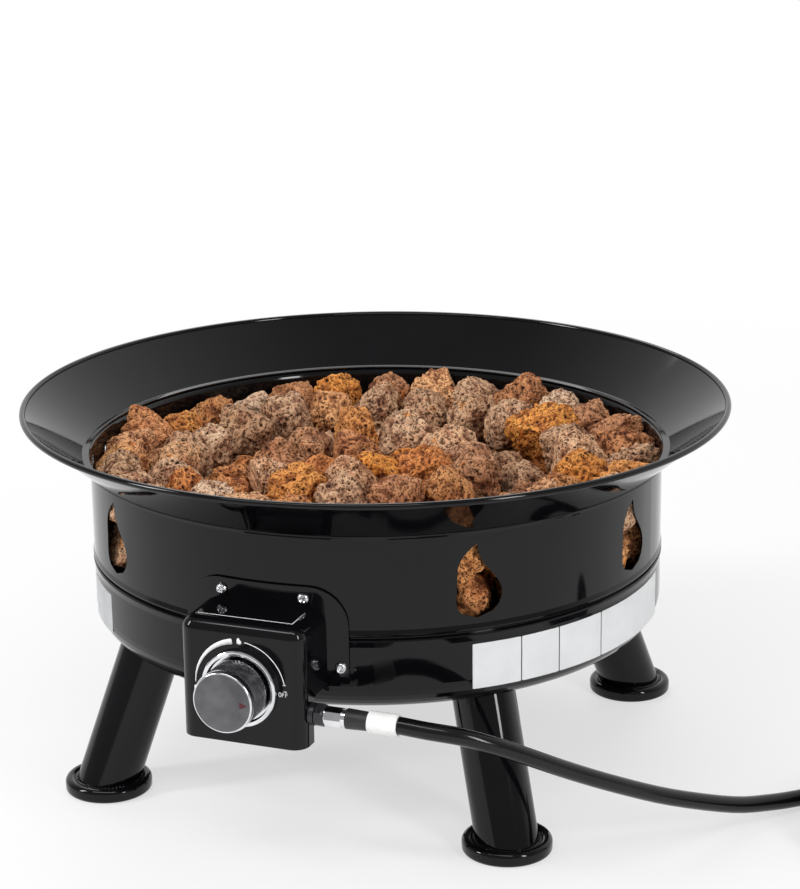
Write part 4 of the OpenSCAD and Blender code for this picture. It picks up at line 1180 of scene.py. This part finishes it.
    def build(self, palette: Palette) -> None:
        """Lays the lower and the upper rocks, in pieces that stand for the CAD's three nodes.

        Args:
            palette: The finishes.
        """
        low, top = self.low_spots(), self.top_spots()
        low_z = np.full(len(low), self.hearth_z + self.low_r + self.rest_gap)
        radii = self.top_radii(len(top))
        middles = np.column_stack([top, self.rest_heights(top, radii, low)])
        counts = self.top_counts()
        inner, outer = sum(counts[:-2]), sum(counts[:-1])
        level = self.fine_level
        laid = [(self.low_group, np.column_stack([low, low_z]), np.full(len(low), self.low_r),
                 self.coarse_level)]
        for group, part in zip(self.top_groups,
                               (slice(0, inner), slice(inner, outer), slice(outer, None))):
            laid.append((group, middles[part], radii[part], level))
        for rocks in laid:
            add_piece(self.rocks(*rocks), palette.stone, replaces=(rocks[0].node,))


# ---- Bowl and its labels ----


@dataclass(frozen=True)
class Label:
    """One bare panel on the pan, from one angle to another and between two heights."""

    first: float
    last: float
    low: float = 0.140
    high: float = 0.178


@dataclass
class Bowl:
    """The enamelled bowl's rim, and the bare labels on its pan."""

    rim_r: float = 305.0 * MM
    rim_z: float = 318.0 * MM
    hem_r: float = 2.6 * MM
    seam: tuple[float, float] = (254.0 * MM, 275.2 * MM)
    seat_in: float = 248.0 * MM
    sheet: float = 1.2 * MM
    bend: float = 3.0 * MM
    bend_steps: int = 9
    hem_steps: int = 40
    segments: int = 360
    pan_r: float = 247.0 * MM
    film: float = 0.1 * MM
    corner: float = 0.8 * MM
    label_rows: int = 24
    label_columns: int = 40
    labels: tuple[Label, ...] = (Label(39.0, 48.9), Label(49.1, 57.5), Label(57.7, 68.9), Label(69.1, 95.0))
    plate: Label = Label(-57.0, -43.5, 0.141, 0.176)

    def panel(self, label: Label) -> Form:
        """A thin plate on the pan: radius r, angle a(u, v) and height z(v), with rounded corners.

        Args:
            label: Where the panel lies.

        Returns:
            Points and faces of the closed plate.
        """
        middle = math.radians((label.first + label.last) / 2)
        half = math.radians((label.last - label.first) / 2) * self.pan_r
        v = (1.0 - np.cos(np.linspace(0.0, np.pi, self.label_rows))) / 2.0
        z = label.low + v * (label.high - label.low)
        dip = np.maximum(self.corner - np.minimum(z - label.low, label.high - z), 0.0)
        width = half - self.corner + np.sqrt(np.maximum(self.corner**2 - dip**2, 0.0))
        u = np.linspace(-1.0, 1.0, self.label_columns)
        angle = middle + width[:, None] * u[None] / self.pan_r
        height = np.broadcast_to(z[:, None], angle.shape)
        sheets = [np.stack([r * np.sin(angle), -r * np.cos(angle), height], axis=-1).reshape(-1, 3)
                  for r in (self.pan_r + self.film, self.pan_r - self.film)]
        front = grid_faces(self.label_rows, self.label_columns)
        back = front[:, ::-1] + height.size
        edge = grid_edge(self.label_rows, self.label_columns)
        after = np.roll(edge, -1)
        rim = np.stack([edge, edge + height.size, after + height.size, after], axis=-1)
        return np.concatenate(sheets), np.concatenate([front, back, rim])

    def rim(self) -> Form:
        """The flared rim: a flat seat, a small bend, a straight cone and a round hem, turned about Z.

        With the cone's slope s, the bend of radius r fills the corner from r tan(s/2) before it
        to as far behind it, and the hem's circle runs from the cone's lower to its upper face.

        Returns:
            Points and faces of the closed ring.
        """
        seam = np.array(self.seam)
        hem = np.array([self.rim_r - self.hem_r, self.rim_z - self.hem_r])
        slope = math.atan2(hem[1] - seam[1], hem[0] - seam[0])
        turn = np.linspace(0.0, slope, self.bend_steps)
        middle = seam + np.array([-self.bend * math.tan(slope / 2), self.bend])
        way = np.stack([np.sin(turn), -np.cos(turn)], axis=-1)
        under, over = middle + self.bend * way, middle + (self.bend - self.sheet) * way
        end = slope + math.pi - math.asin(self.sheet / self.hem_r)
        roll = np.linspace(slope - math.pi, end, self.hem_steps)
        circle = hem + self.hem_r * np.stack([np.cos(roll), np.sin(roll)], axis=-1)
        inside = np.array([[self.seat_in, seam[1] + self.sheet], [self.seat_in, seam[1]]])
        return revolve(np.concatenate([under, circle, over[::-1], inside]), self.segments)

    def build(self, palette: Palette) -> None:
        """Adds the rim and the labels.

        Args:
            palette: The finishes.
        """
        add_piece(solid("flared_rim", [self.rim()], 40.0), palette.enamel, replaces=("rim_ring",))
        add_piece(solid("pan_labels", [self.panel(label) for label in self.labels]), palette.label)
        add_piece(solid("grey_label", [self.panel(self.plate)]), palette.foil)


# ---- Control box ----


@dataclass
class ControlBox:
    """The pressed control box with its dial print, the frame line on its top and its screws."""

    front_y: float = -294.0 * MM
    top_z: float = 213.0 * MM
    knob_z: float = 160.0 * MM

    # The box's mesh: smallest distance of points, angle of faces that are one, and sharp edges
    weld: float = 2e-6
    flat: float = 0.3
    sharp: float = 38.0
    flat_weight: int = 80

    # The dial, in clock angles, and its word
    dial_r: float = 38.0 * MM
    arc_steps: int = 60
    swelling_arc: tuple[float, float, float, float] = (-90.0, -9.0, 0.6 * MM, 4.6 * MM)
    thin_arc: tuple[float, float, float, float] = (7.0, 80.0, 0.7 * MM, 0.7 * MM)
    tick_turns: tuple[float, float] = (80.0, 88.0)
    tick_half: float = 1.3 * MM
    tick_w: float = 0.7 * MM
    top_flame: Triple = (0.0, 35.6 * MM, 5.6 * MM)
    side_flame: Triple = (-38.0 * MM, -6.5 * MM, 4.2 * MM)
    flame_steps: int = 24
    word_at: tuple[float, float] = (32.6 * MM, -3.2 * MM)
    letter: tuple[float, float] = (2.0 * MM, 3.4 * MM)
    letter_gap: float = 0.75 * MM
    letter_line: float = 0.55 * MM
    upright_in: float = 0.2 * MM
    top_bar: float = 0.8
    middle_bar: float = 0.65
    middle_bar_z: float = 0.55
    oval_steps: int = 33

    # The frame line on the top
    frame_x: float = 40.0 * MM
    frame_y: float = -281.5 * MM
    frame_back: float = -256.0 * MM
    frame_line: float = 0.8 * MM

    # The screws: angle about the bowl's axis and height of each, heads, recesses and nuts
    screws: tuple[tuple[float, float], ...] = (
        (8.03, 0.2215), (-8.03, 0.2215), (14.66, 0.165), (-14.66, 0.165))
    head_y: float = -249.8 * MM
    head_d: float = 9.5 * MM
    head_h: float = 3.2 * MM
    head_edge: float = 0.2 * MM
    head_grid: int = 57
    recess_turn: float = 36.87
    recess_depth: float = 1.5 * MM
    arm_half: float = 0.75 * MM
    arm_wall: float = 0.3 * MM
    arm_reach: float = 2.7 * MM
    arm_slope: float = 1.3 * MM
    shank_y: tuple[float, float] = (-242.8 * MM, -250.8 * MM)
    shank_r: float = 2.5 * MM
    nut_y: tuple[float, float] = (-243.2 * MM, -245.6 * MM)
    nut_r: float = 4.5 * MM

    def box(self, packed: bpy.types.Object) -> bpy.types.Object:
        """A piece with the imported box's form, whose rounds are shaded smoothly.

        Args:
            packed: The CAD node's object.

        Returns:
            The new piece, at the origin.
        """
        mesh = packed.data.copy()
        mesh.name = "pressed_control_box"
        piece = bpy.data.objects.new(mesh.name, mesh)
        bpy.context.scene.collection.objects.link(piece)
        work = bmesh.new()
        work.from_mesh(mesh)
        bmesh.ops.remove_doubles(work, verts=work.verts, dist=self.weld)
        bmesh.ops.dissolve_limit(work, angle_limit=math.radians(self.flat), verts=work.verts,
                                 edges=work.edges)
        for face in work.faces:
            face.smooth = True
        for edge in work.edges:
            edge.smooth = len(edge.link_faces) == 2 and edge.calc_face_angle() < math.radians(self.sharp)
        work.to_mesh(mesh)
        work.free()
        weighted = piece.modifiers.new("flat faces stay flat", "WEIGHTED_NORMAL")
        weighted.keep_sharp = True
        weighted.weight = self.flat_weight
        return piece

    def _print(self, path: Array, side: Array, half: Array) -> Form:
        """A strip of print on the front, along a path measured from the knob's axis."""
        return ribbon(path + np.array([0.0, self.front_y, self.knob_z]), side, half, AHEAD)

    def arc(self, first: float, last: float, start: float, end: float) -> Form:
        """An arc of the dial, whose width grows evenly.

        Args:
            first: Clock angle at which it starts.
            last: Clock angle at which it ends.
            start: Its width where it starts.
            end: Its width where it ends.

        Returns:
            Points and faces.
        """
        out = clock(np.linspace(first, last, self.arc_steps))
        return self._print(self.dial_r * out, out, np.linspace(start, end, self.arc_steps) / 2)

    def stroke(self, ends: Array, width: float) -> Form:
        """A straight stroke of print.

        Args:
            ends: Its two ends, measured from the knob's axis.
            width: Its width.

        Returns:
            Points and faces.
        """
        along = ends[1] - ends[0]
        side = np.cross(along / np.linalg.norm(along), AHEAD)
        return self._print(ends, side, np.full(2, width / 2))

    def flame(self, x: float, z: float, height: float) -> Form:
        """A small flame: half width 0.36 h sin(pi t^0.6)^0.9, leaning by 0.12 h sin(2 pi t) t.

        Args:
            x: Place of its foot from the knob's axis.
            z: Height of its foot from the knob's axis.
            height: Its height.

        Returns:
            Points and faces.
        """
        t = np.linspace(0.02, 0.98, self.flame_steps)
        lean = 0.12 * height * np.sin(2 * np.pi * t) * t
        path = np.stack([x + lean, np.zeros_like(t), z + height * t], axis=-1)
        return self._print(path, RIGHT, 0.36 * height * np.sin(np.pi * t**0.6) ** 0.9)

    def word(self) -> list[Form]:
        """The dial's word for shut: an oval ring, and two letters of an upright and two bars.

        Returns:
            Points and faces of each stroke.
        """
        left, foot = self.word_at
        wide, high = self.letter
        line = self.letter_line
        top, middle = high - line / 2, self.middle_bar_z * high
        out = clock(np.linspace(0.0, 360.0, self.oval_steps))
        oval = out * np.array([wide / 2, 0.0, high / 2]) + np.array([left + wide / 2, 0.0, foot + high / 2])
        strokes = [self._print(oval, out, np.full(self.oval_steps, line / 2))]
        for letter in (1, 2):
            x = left + letter * (wide + self.letter_gap) + self.upright_in
            for bar, low, up in ((0.0, 0.0, high), (self.top_bar * wide, top, top),
                                 (self.middle_bar * wide, middle, middle)):
                ends = np.array([[x, 0.0, foot + low], [x + bar, 0.0, foot + up]])
                strokes.append(self.stroke(ends, line))
        return strokes

    def dial(self) -> list[Form]:
        """The white dial print: a growing arc, a thin arc, two flame marks, ticks and the word.

        Returns:
            Points and faces of each mark.
        """
        reach = np.array([[self.dial_r - self.tick_half], [self.dial_r + self.tick_half]])
        ticks = [self.stroke(reach * clock(turn), self.tick_w) for turn in self.tick_turns]
        return [self.arc(*self.swelling_arc), self.arc(*self.thin_arc), self.flame(*self.top_flame),
                self.flame(*self.side_flame), *ticks, *self.word()]

    def top_line(self) -> list[Form]:
        """The thin white line along the front and the right edge of the box's top.

        Returns:
            Points and faces of both strips.
        """
        x, y, z, half = self.frame_x, self.frame_y, self.top_z, self.frame_line / 2
        front = np.array([[-x, y, z], [x + half, y, z]])
        right = np.array([[x, y + half, z], [x, self.frame_back, z]])
        return [ribbon(front, -AHEAD, np.full(2, half), UP), ribbon(right, RIGHT, np.full(2, half), UP)]

    def cross_head(self) -> Form:
        """A pan head with a cross recess, along +Z from its seat.

        A square grid is bent to a disc by (u sqrt(1 - v^2/2), v sqrt(1 - u^2/2)). Its height is
        flat inside and a quarter round outside, less a cross that deepens to its middle.

        Returns:
            Points and faces, closed underneath.
        """
        def arm(across: Array, along: Array) -> Array:
            """How deep one arm of the cross is, from 0 to 1."""
            walls = np.clip((self.arm_half - np.abs(across)) / self.arm_wall + 0.5, 0.0, 1.0)
            return walls * np.clip((self.arm_reach - np.abs(along)) / self.arm_slope, 0.0, 1.0)

        step = np.linspace(-1, 1, self.head_grid)
        u, v = np.meshgrid(step, step, indexing="ij")
        r, round_r = self.head_d / 2, self.head_h - self.head_edge
        x, y = r * u * np.sqrt(1 - v**2 / 2), r * v * np.sqrt(1 - u**2 / 2)
        past = np.maximum(np.hypot(x, y) - (r - round_r), 0.0)
        z = self.head_edge + np.sqrt(np.maximum(round_r**2 - past**2, 0.0))
        z = z - self.recess_depth * np.maximum(arm(x, y), arm(y, x))
        faces = grid_faces(self.head_grid, self.head_grid).tolist()
        faces.append(grid_edge(self.head_grid, self.head_grid).tolist())
        return np.stack([x, y, z], axis=-1).reshape(-1, 3), faces

    def screw_set(self) -> list[Form]:
        """The four screws with their cross recesses, shanks and thin nuts.

        Returns:
            Points and faces of each head, shank and nut.
        """
        head, faces = self.cross_head()
        head = about_z(head, self.recess_turn)
        forms = []
        for turn, z in self.screws:
            forms.append((about_z(facing_front(head, self.head_y, z), turn), faces))
            for (back, front), r, sides in ((self.shank_y, self.shank_r, 20), (self.nut_y, self.nut_r, 6)):
                points, tube = sweep(np.array([[0.0, back, z], [0.0, front, z]]), r, sides)
                forms.append((about_z(points, turn), tube))
        return forms

    def build(self, palette: Palette, frame: dict) -> None:
        """Adds the smoothed box, its prints and its screws.

        Args:
            palette: The finishes.
        """
        add_piece(self.box(frame["nodes"]["control_housing"]), palette.enamel,
                  replaces=("control_housing",))
        add_piece(solid("dial_print", self.dial()), palette.print_white)
        add_piece(solid("top_frame_line", self.top_line()), palette.print_white)
        add_piece(solid("cross_head_screws", self.screw_set(), 50.0), palette.zinc,
                  replaces=("housing_screws",))


# ---- Knob ----


@dataclass
class Knob:
    """The knob: a hollow knurled barrel, and a face with a bright edge and a small pointer."""

    back_y: float = -299.2 * MM
    axis_z: float = 160.0 * MM

    # The barrel
    r: float = 25.1 * MM
    length: float = 26.0 * MM
    margin: float = 2.6 * MM
    step: float = 0.2 * MM
    bore: float = 4.4 * MM
    hub_r: float = 7.0 * MM
    wall: float = 2.6 * MM
    front_wall: float = 4.0 * MM
    teeth: int = 52
    knurl: float = 1.0 * MM
    knurl_rows: int = 58
    columns_a_tooth: int = 6

    # The face
    face_y: float = -327.8 * MM
    cap_back: float = -325.4 * MM
    cap_r: float = 24.7 * MM
    edge: float = 1.2 * MM
    edge_steps: int = 9
    face_segments: int = 96
    edge_segments: int = 120
    pointer_x: tuple[float, float] = (14.5 * MM, 21.0 * MM)
    pointer_half: tuple[float, float] = (3.0 * MM, 0.15 * MM)

    def turned(self, profile: Array, segments: int) -> Form:
        """A closed profile turned about the knob's axis, forwards from the back of the face plate."""
        points, faces = revolve(profile, segments)
        return facing_front(points, self.cap_back, self.axis_z), faces

    def face(self) -> Form:
        """The flat face plate, inside its edge."""
        r, thick = self.cap_r - self.edge, self.cap_back - self.face_y
        return self.turned(np.array([[0.0, 0.0], [r, 0.0], [r, thick], [0.0, thick]]), self.face_segments)

    def face_edge(self) -> Form:
        """The plate's bright edge: a quarter round, (r + e cos a, thick - e + e sin a).

        Returns:
            Points and faces.
        """
        r, thick = self.cap_r - self.edge, self.cap_back - self.face_y
        a = np.radians(np.linspace(0.0, 90.0, self.edge_steps))
        arc = np.stack([r + self.edge * np.cos(a), thick - self.edge + self.edge * np.sin(a)], axis=-1)
        return self.turned(np.concatenate([[[r, 0.0], [self.cap_r, 0.0]], arc]), self.edge_segments)

    def barrel(self) -> Form:
        """The barrel: radius r - d + d min(w(u + v), w(u - v)), w a triangle wave, in the knurl.

        Returns:
            Points and faces, hollow behind the front wall, with the stem's bore in the hub.
        """
        def wave(x: Array) -> Array:
            """A triangle wave from 0 to 1 with a period of 1."""
            return 1.0 - np.abs(2.0 * (x - np.floor(x)) - 1.0)

        columns = self.teeth * self.columns_a_tooth
        a = np.linspace(0.0, 2 * np.pi, columns, endpoint=False)
        s = np.linspace(self.margin, self.length - self.margin, self.knurl_rows)
        u = self.teeth * a[None] / (2 * np.pi)
        v = self.teeth * s[:, None] / (2 * np.pi * self.r)
        knurled = self.r - self.knurl + self.knurl * np.minimum(wave(u + v), wave(u - v))
        low, deep = self.r - self.knurl, self.length - self.front_wall
        outline = [(self.bore, 0.0), (self.hub_r, 0.0), (self.hub_r, deep), (low - self.wall, deep),
                   (low - self.wall, 0.0), (low, 0.0), (low, self.margin - self.step)]
        ending = [(low, self.length - self.margin + self.step), (low, self.length),
                  (self.bore, self.length)]
        r = np.concatenate([[np.full(columns, p[0]) for p in outline], knurled,
                            [np.full(columns, p[0]) for p in ending]])
        along = np.concatenate([[p[1] for p in outline], s, [p[1] for p in ending]])
        along = np.repeat(along[:, None], columns, axis=1)
        points = np.stack([r * np.cos(a), r * np.sin(a), along], axis=-1).reshape(-1, 3)
        return (facing_front(points, self.back_y, self.axis_z),
                grid_faces(len(r), columns, True, True))

    def pointer(self) -> Form:
        """The pointer: a small dark red triangle on the face that points to 3 o'clock."""
        path = np.array([[x, self.face_y, self.axis_z] for x in self.pointer_x])
        return ribbon(path, UP, np.array(self.pointer_half), AHEAD)

    def build(self, palette: Palette) -> None:
        """Adds the barrel, the face with its edge and the pointer, which ride on the knob.

        Args:
            palette: The finishes.
        """
        add_piece(solid("knurled_barrel", [self.barrel()], 35.0), palette.barrel, Body.KNOB,
                  replaces=("knob_body",))
        for name, form, finish in (("knob_face", self.face(), palette.face),
                                   ("knob_face_edge", self.face_edge(), palette.chrome)):
            add_piece(solid(name, [form], 40.0), finish, Body.KNOB, replaces=("knob_cap",))
        add_piece(solid("knob_pointer", [self.pointer()], smooth=False), palette.print_red, Body.KNOB)


# ---- Feet ----


@dataclass
class Foot:
    """One foot: a dished flange with a rolled lip, and the weld bead round the leg in it."""

    name: str
    angle: float
    feet_r: float = 255.0 * MM
    pivot_z: float = 8.0 * MM
    tilt: float = 21.0
    leg_r: float = 26.0 * MM
    r: float = 37.0 * MM
    height: float = 12.0 * MM
    foot_round: float = 3.0 * MM
    round_steps: int = 6
    dish: float = 8.4 * MM
    lip: float = 4.6 * MM
    lip_turn: float = 150.0
    lip_steps: int = 14
    dish_in: float = 2.6
    middle_hole: float = 1.0 * MM
    segments: int = 96
    bead_r: float = 2.7 * MM
    bead_lift: float = 0.3 * MM
    bead_steps: int = 240
    bead_sides: int = 10

    def flange(self) -> Form:
        """The flange: flat below, a round lip at its edge, and a dish from dish_in lips inside it.

        Returns:
            Points and faces.
        """
        def arc(radius: float, z: float, first: float, last: float, steps: int) -> Array:
            """Points (r - radius + radius cos a, z + radius sin a) from one angle to another."""
            a = np.radians(np.linspace(first, last, steps))
            return np.stack([self.r - radius + radius * np.cos(a), z + radius * np.sin(a)], axis=-1)

        low = arc(self.foot_round, self.foot_round, -90.0, 0.0, self.round_steps)
        top = arc(self.lip, self.height - self.lip, 0.0, self.lip_turn, self.lip_steps)
        inner = np.array([[self.r - self.dish_in * self.lip, self.dish],
                          [self.middle_hole, self.dish], [self.middle_hole, 0.0]])
        points, faces = revolve(np.concatenate([low, top, inner]), self.segments)
        return about_z(points + self.feet_r * AHEAD, self.angle), faces

    def bead(self) -> Form:
        """The bead: a tube along the leg's cut with the dish, whose radius ripples.

        The leg's surface (R cos a, R sin a, s) is tilted, and s is chosen so that every point of
        the path has the height of the dish. The radius is 0.85 + 0.2 |sin 29a| + 0.1 sin 5a.

        Returns:
            Points and faces.
        """
        a = np.linspace(0.0, 2 * np.pi, self.bead_steps, endpoint=False)
        t = math.radians(self.tilt)
        z = self.dish + self.bead_lift
        across = self.leg_r * np.sin(a)
        s = (z - self.pivot_z + across * math.sin(t)) / math.cos(t)
        y = across * math.cos(t) + s * math.sin(t)
        path = np.stack([self.leg_r * np.cos(a), y - self.feet_r, np.full_like(a, z)], axis=-1)
        side = np.stack([np.cos(a), np.sin(a) / math.cos(t), np.zeros_like(a)], axis=-1)
        side /= np.linalg.norm(side, axis=1, keepdims=True)
        b = np.linspace(0.0, 2 * np.pi, self.bead_sides, endpoint=False)[None, :, None]
        section = self.bead_r * (0.85 + 0.2 * np.abs(np.sin(29 * a)) + 0.1 * np.sin(5 * a))
        points = path[:, None] + section[:, None, None] * (np.cos(b) * side[:, None] + np.sin(b) * UP)
        return (about_z(points.reshape(-1, 3), self.angle),
                grid_faces(self.bead_steps, self.bead_sides, True, True))

    def build(self, palette: Palette) -> None:
        """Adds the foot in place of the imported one.

        Args:
            palette: The finishes.
        """
        piece = solid(f"dished_{self.name}", [self.flange(), self.bead()], 50.0)
        add_piece(piece, palette.enamel, replaces=(self.name,))


# ---- Pieces shown as packed ----


@dataclass(frozen=True)
class Dressing:
    """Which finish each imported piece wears."""

    palette: Palette

    def table(self) -> tuple[tuple[Finish | RockFinish, tuple[str, ...]], ...]:
        """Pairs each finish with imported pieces.

        Returns:
            One row per finish: the finish and the names of the pieces that wear it.
        """
        p = self.palette
        corners = [f"{end}_{side}" for end, side in product(("front", "rear"), ("left", "right"))]
        return (
            (p.enamel, ("rim_ring", "upper_shell", "hearth_plate", "base_pan", "control_housing", "leg_caps",
                        *(f"{piece}_{corner}" for piece, corner in product(("leg", "foot"), corners)))),
            (p.zinc, ("clamp_screws", "burner_brackets", "burner_screws", "valve_screws", "housing_screws",
                      "valve_stem", "stem_spring", "bonnet_screws", "leg_bolts", "leg_nuts")),
            (p.hot_steel, ("burner_ring", "mixer_tube", "air_shutter")),
            (p.brass, ("gas_orifice", "valve_body", "coupling_nipple", "end_ferrule")),
            (p.chrome, ("knob_bezel", "knob_rings", "hose_ferrule")),
            (p.face, ("knob_cap",)),
            (p.barrel, ("knob_body",)),
            (p.grip, ("hose_sleeve", "coil_tie", "coupling_nut")),
            (p.nylon, ("push_collar",)),
            (p.fitting, ("inlet_elbow", "inlet_nut")),
            (p.wrap, ("hose_tag",)),
            (p.rubber, ("hose_run", "hose_coil")),
            (p.cast, ("regulator_body", "regulator_bonnet")),
            (p.stone, ("lava_rocks_low", "lava_rocks_inner", "lava_rocks_outer")))

    def build(self, frame: dict) -> None:
        """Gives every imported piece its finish.
        """
        for finish, names in self.table():
            for name in names:
                dress(frame["nodes"][name], finish)
        LOG.info("dressed %d packed pieces", len(frame["nodes"]))


# ---- Main ----

FEET = {"foot_front_left": -45.0, "foot_front_right": 45.0, "foot_rear_right": 135.0,
        "foot_rear_left": 225.0}


def main(frame: dict) -> None:
    logging.basicConfig(level=logging.INFO, format="%(name)s: %(message)s")
    palette = Palette()
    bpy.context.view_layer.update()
    studio = Studio()
    studio.camera()
    GasHose().build(palette)
    studio.build()
    LavaBed().build(palette)
    Dressing(palette).build(frame)
    Bowl().build(palette)
    ControlBox().build(palette, frame)
    Knob().build(palette)
    for name, angle in FEET.items():
        Foot(name, angle).build(palette)


if __name__ == "__main__":
    main(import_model())
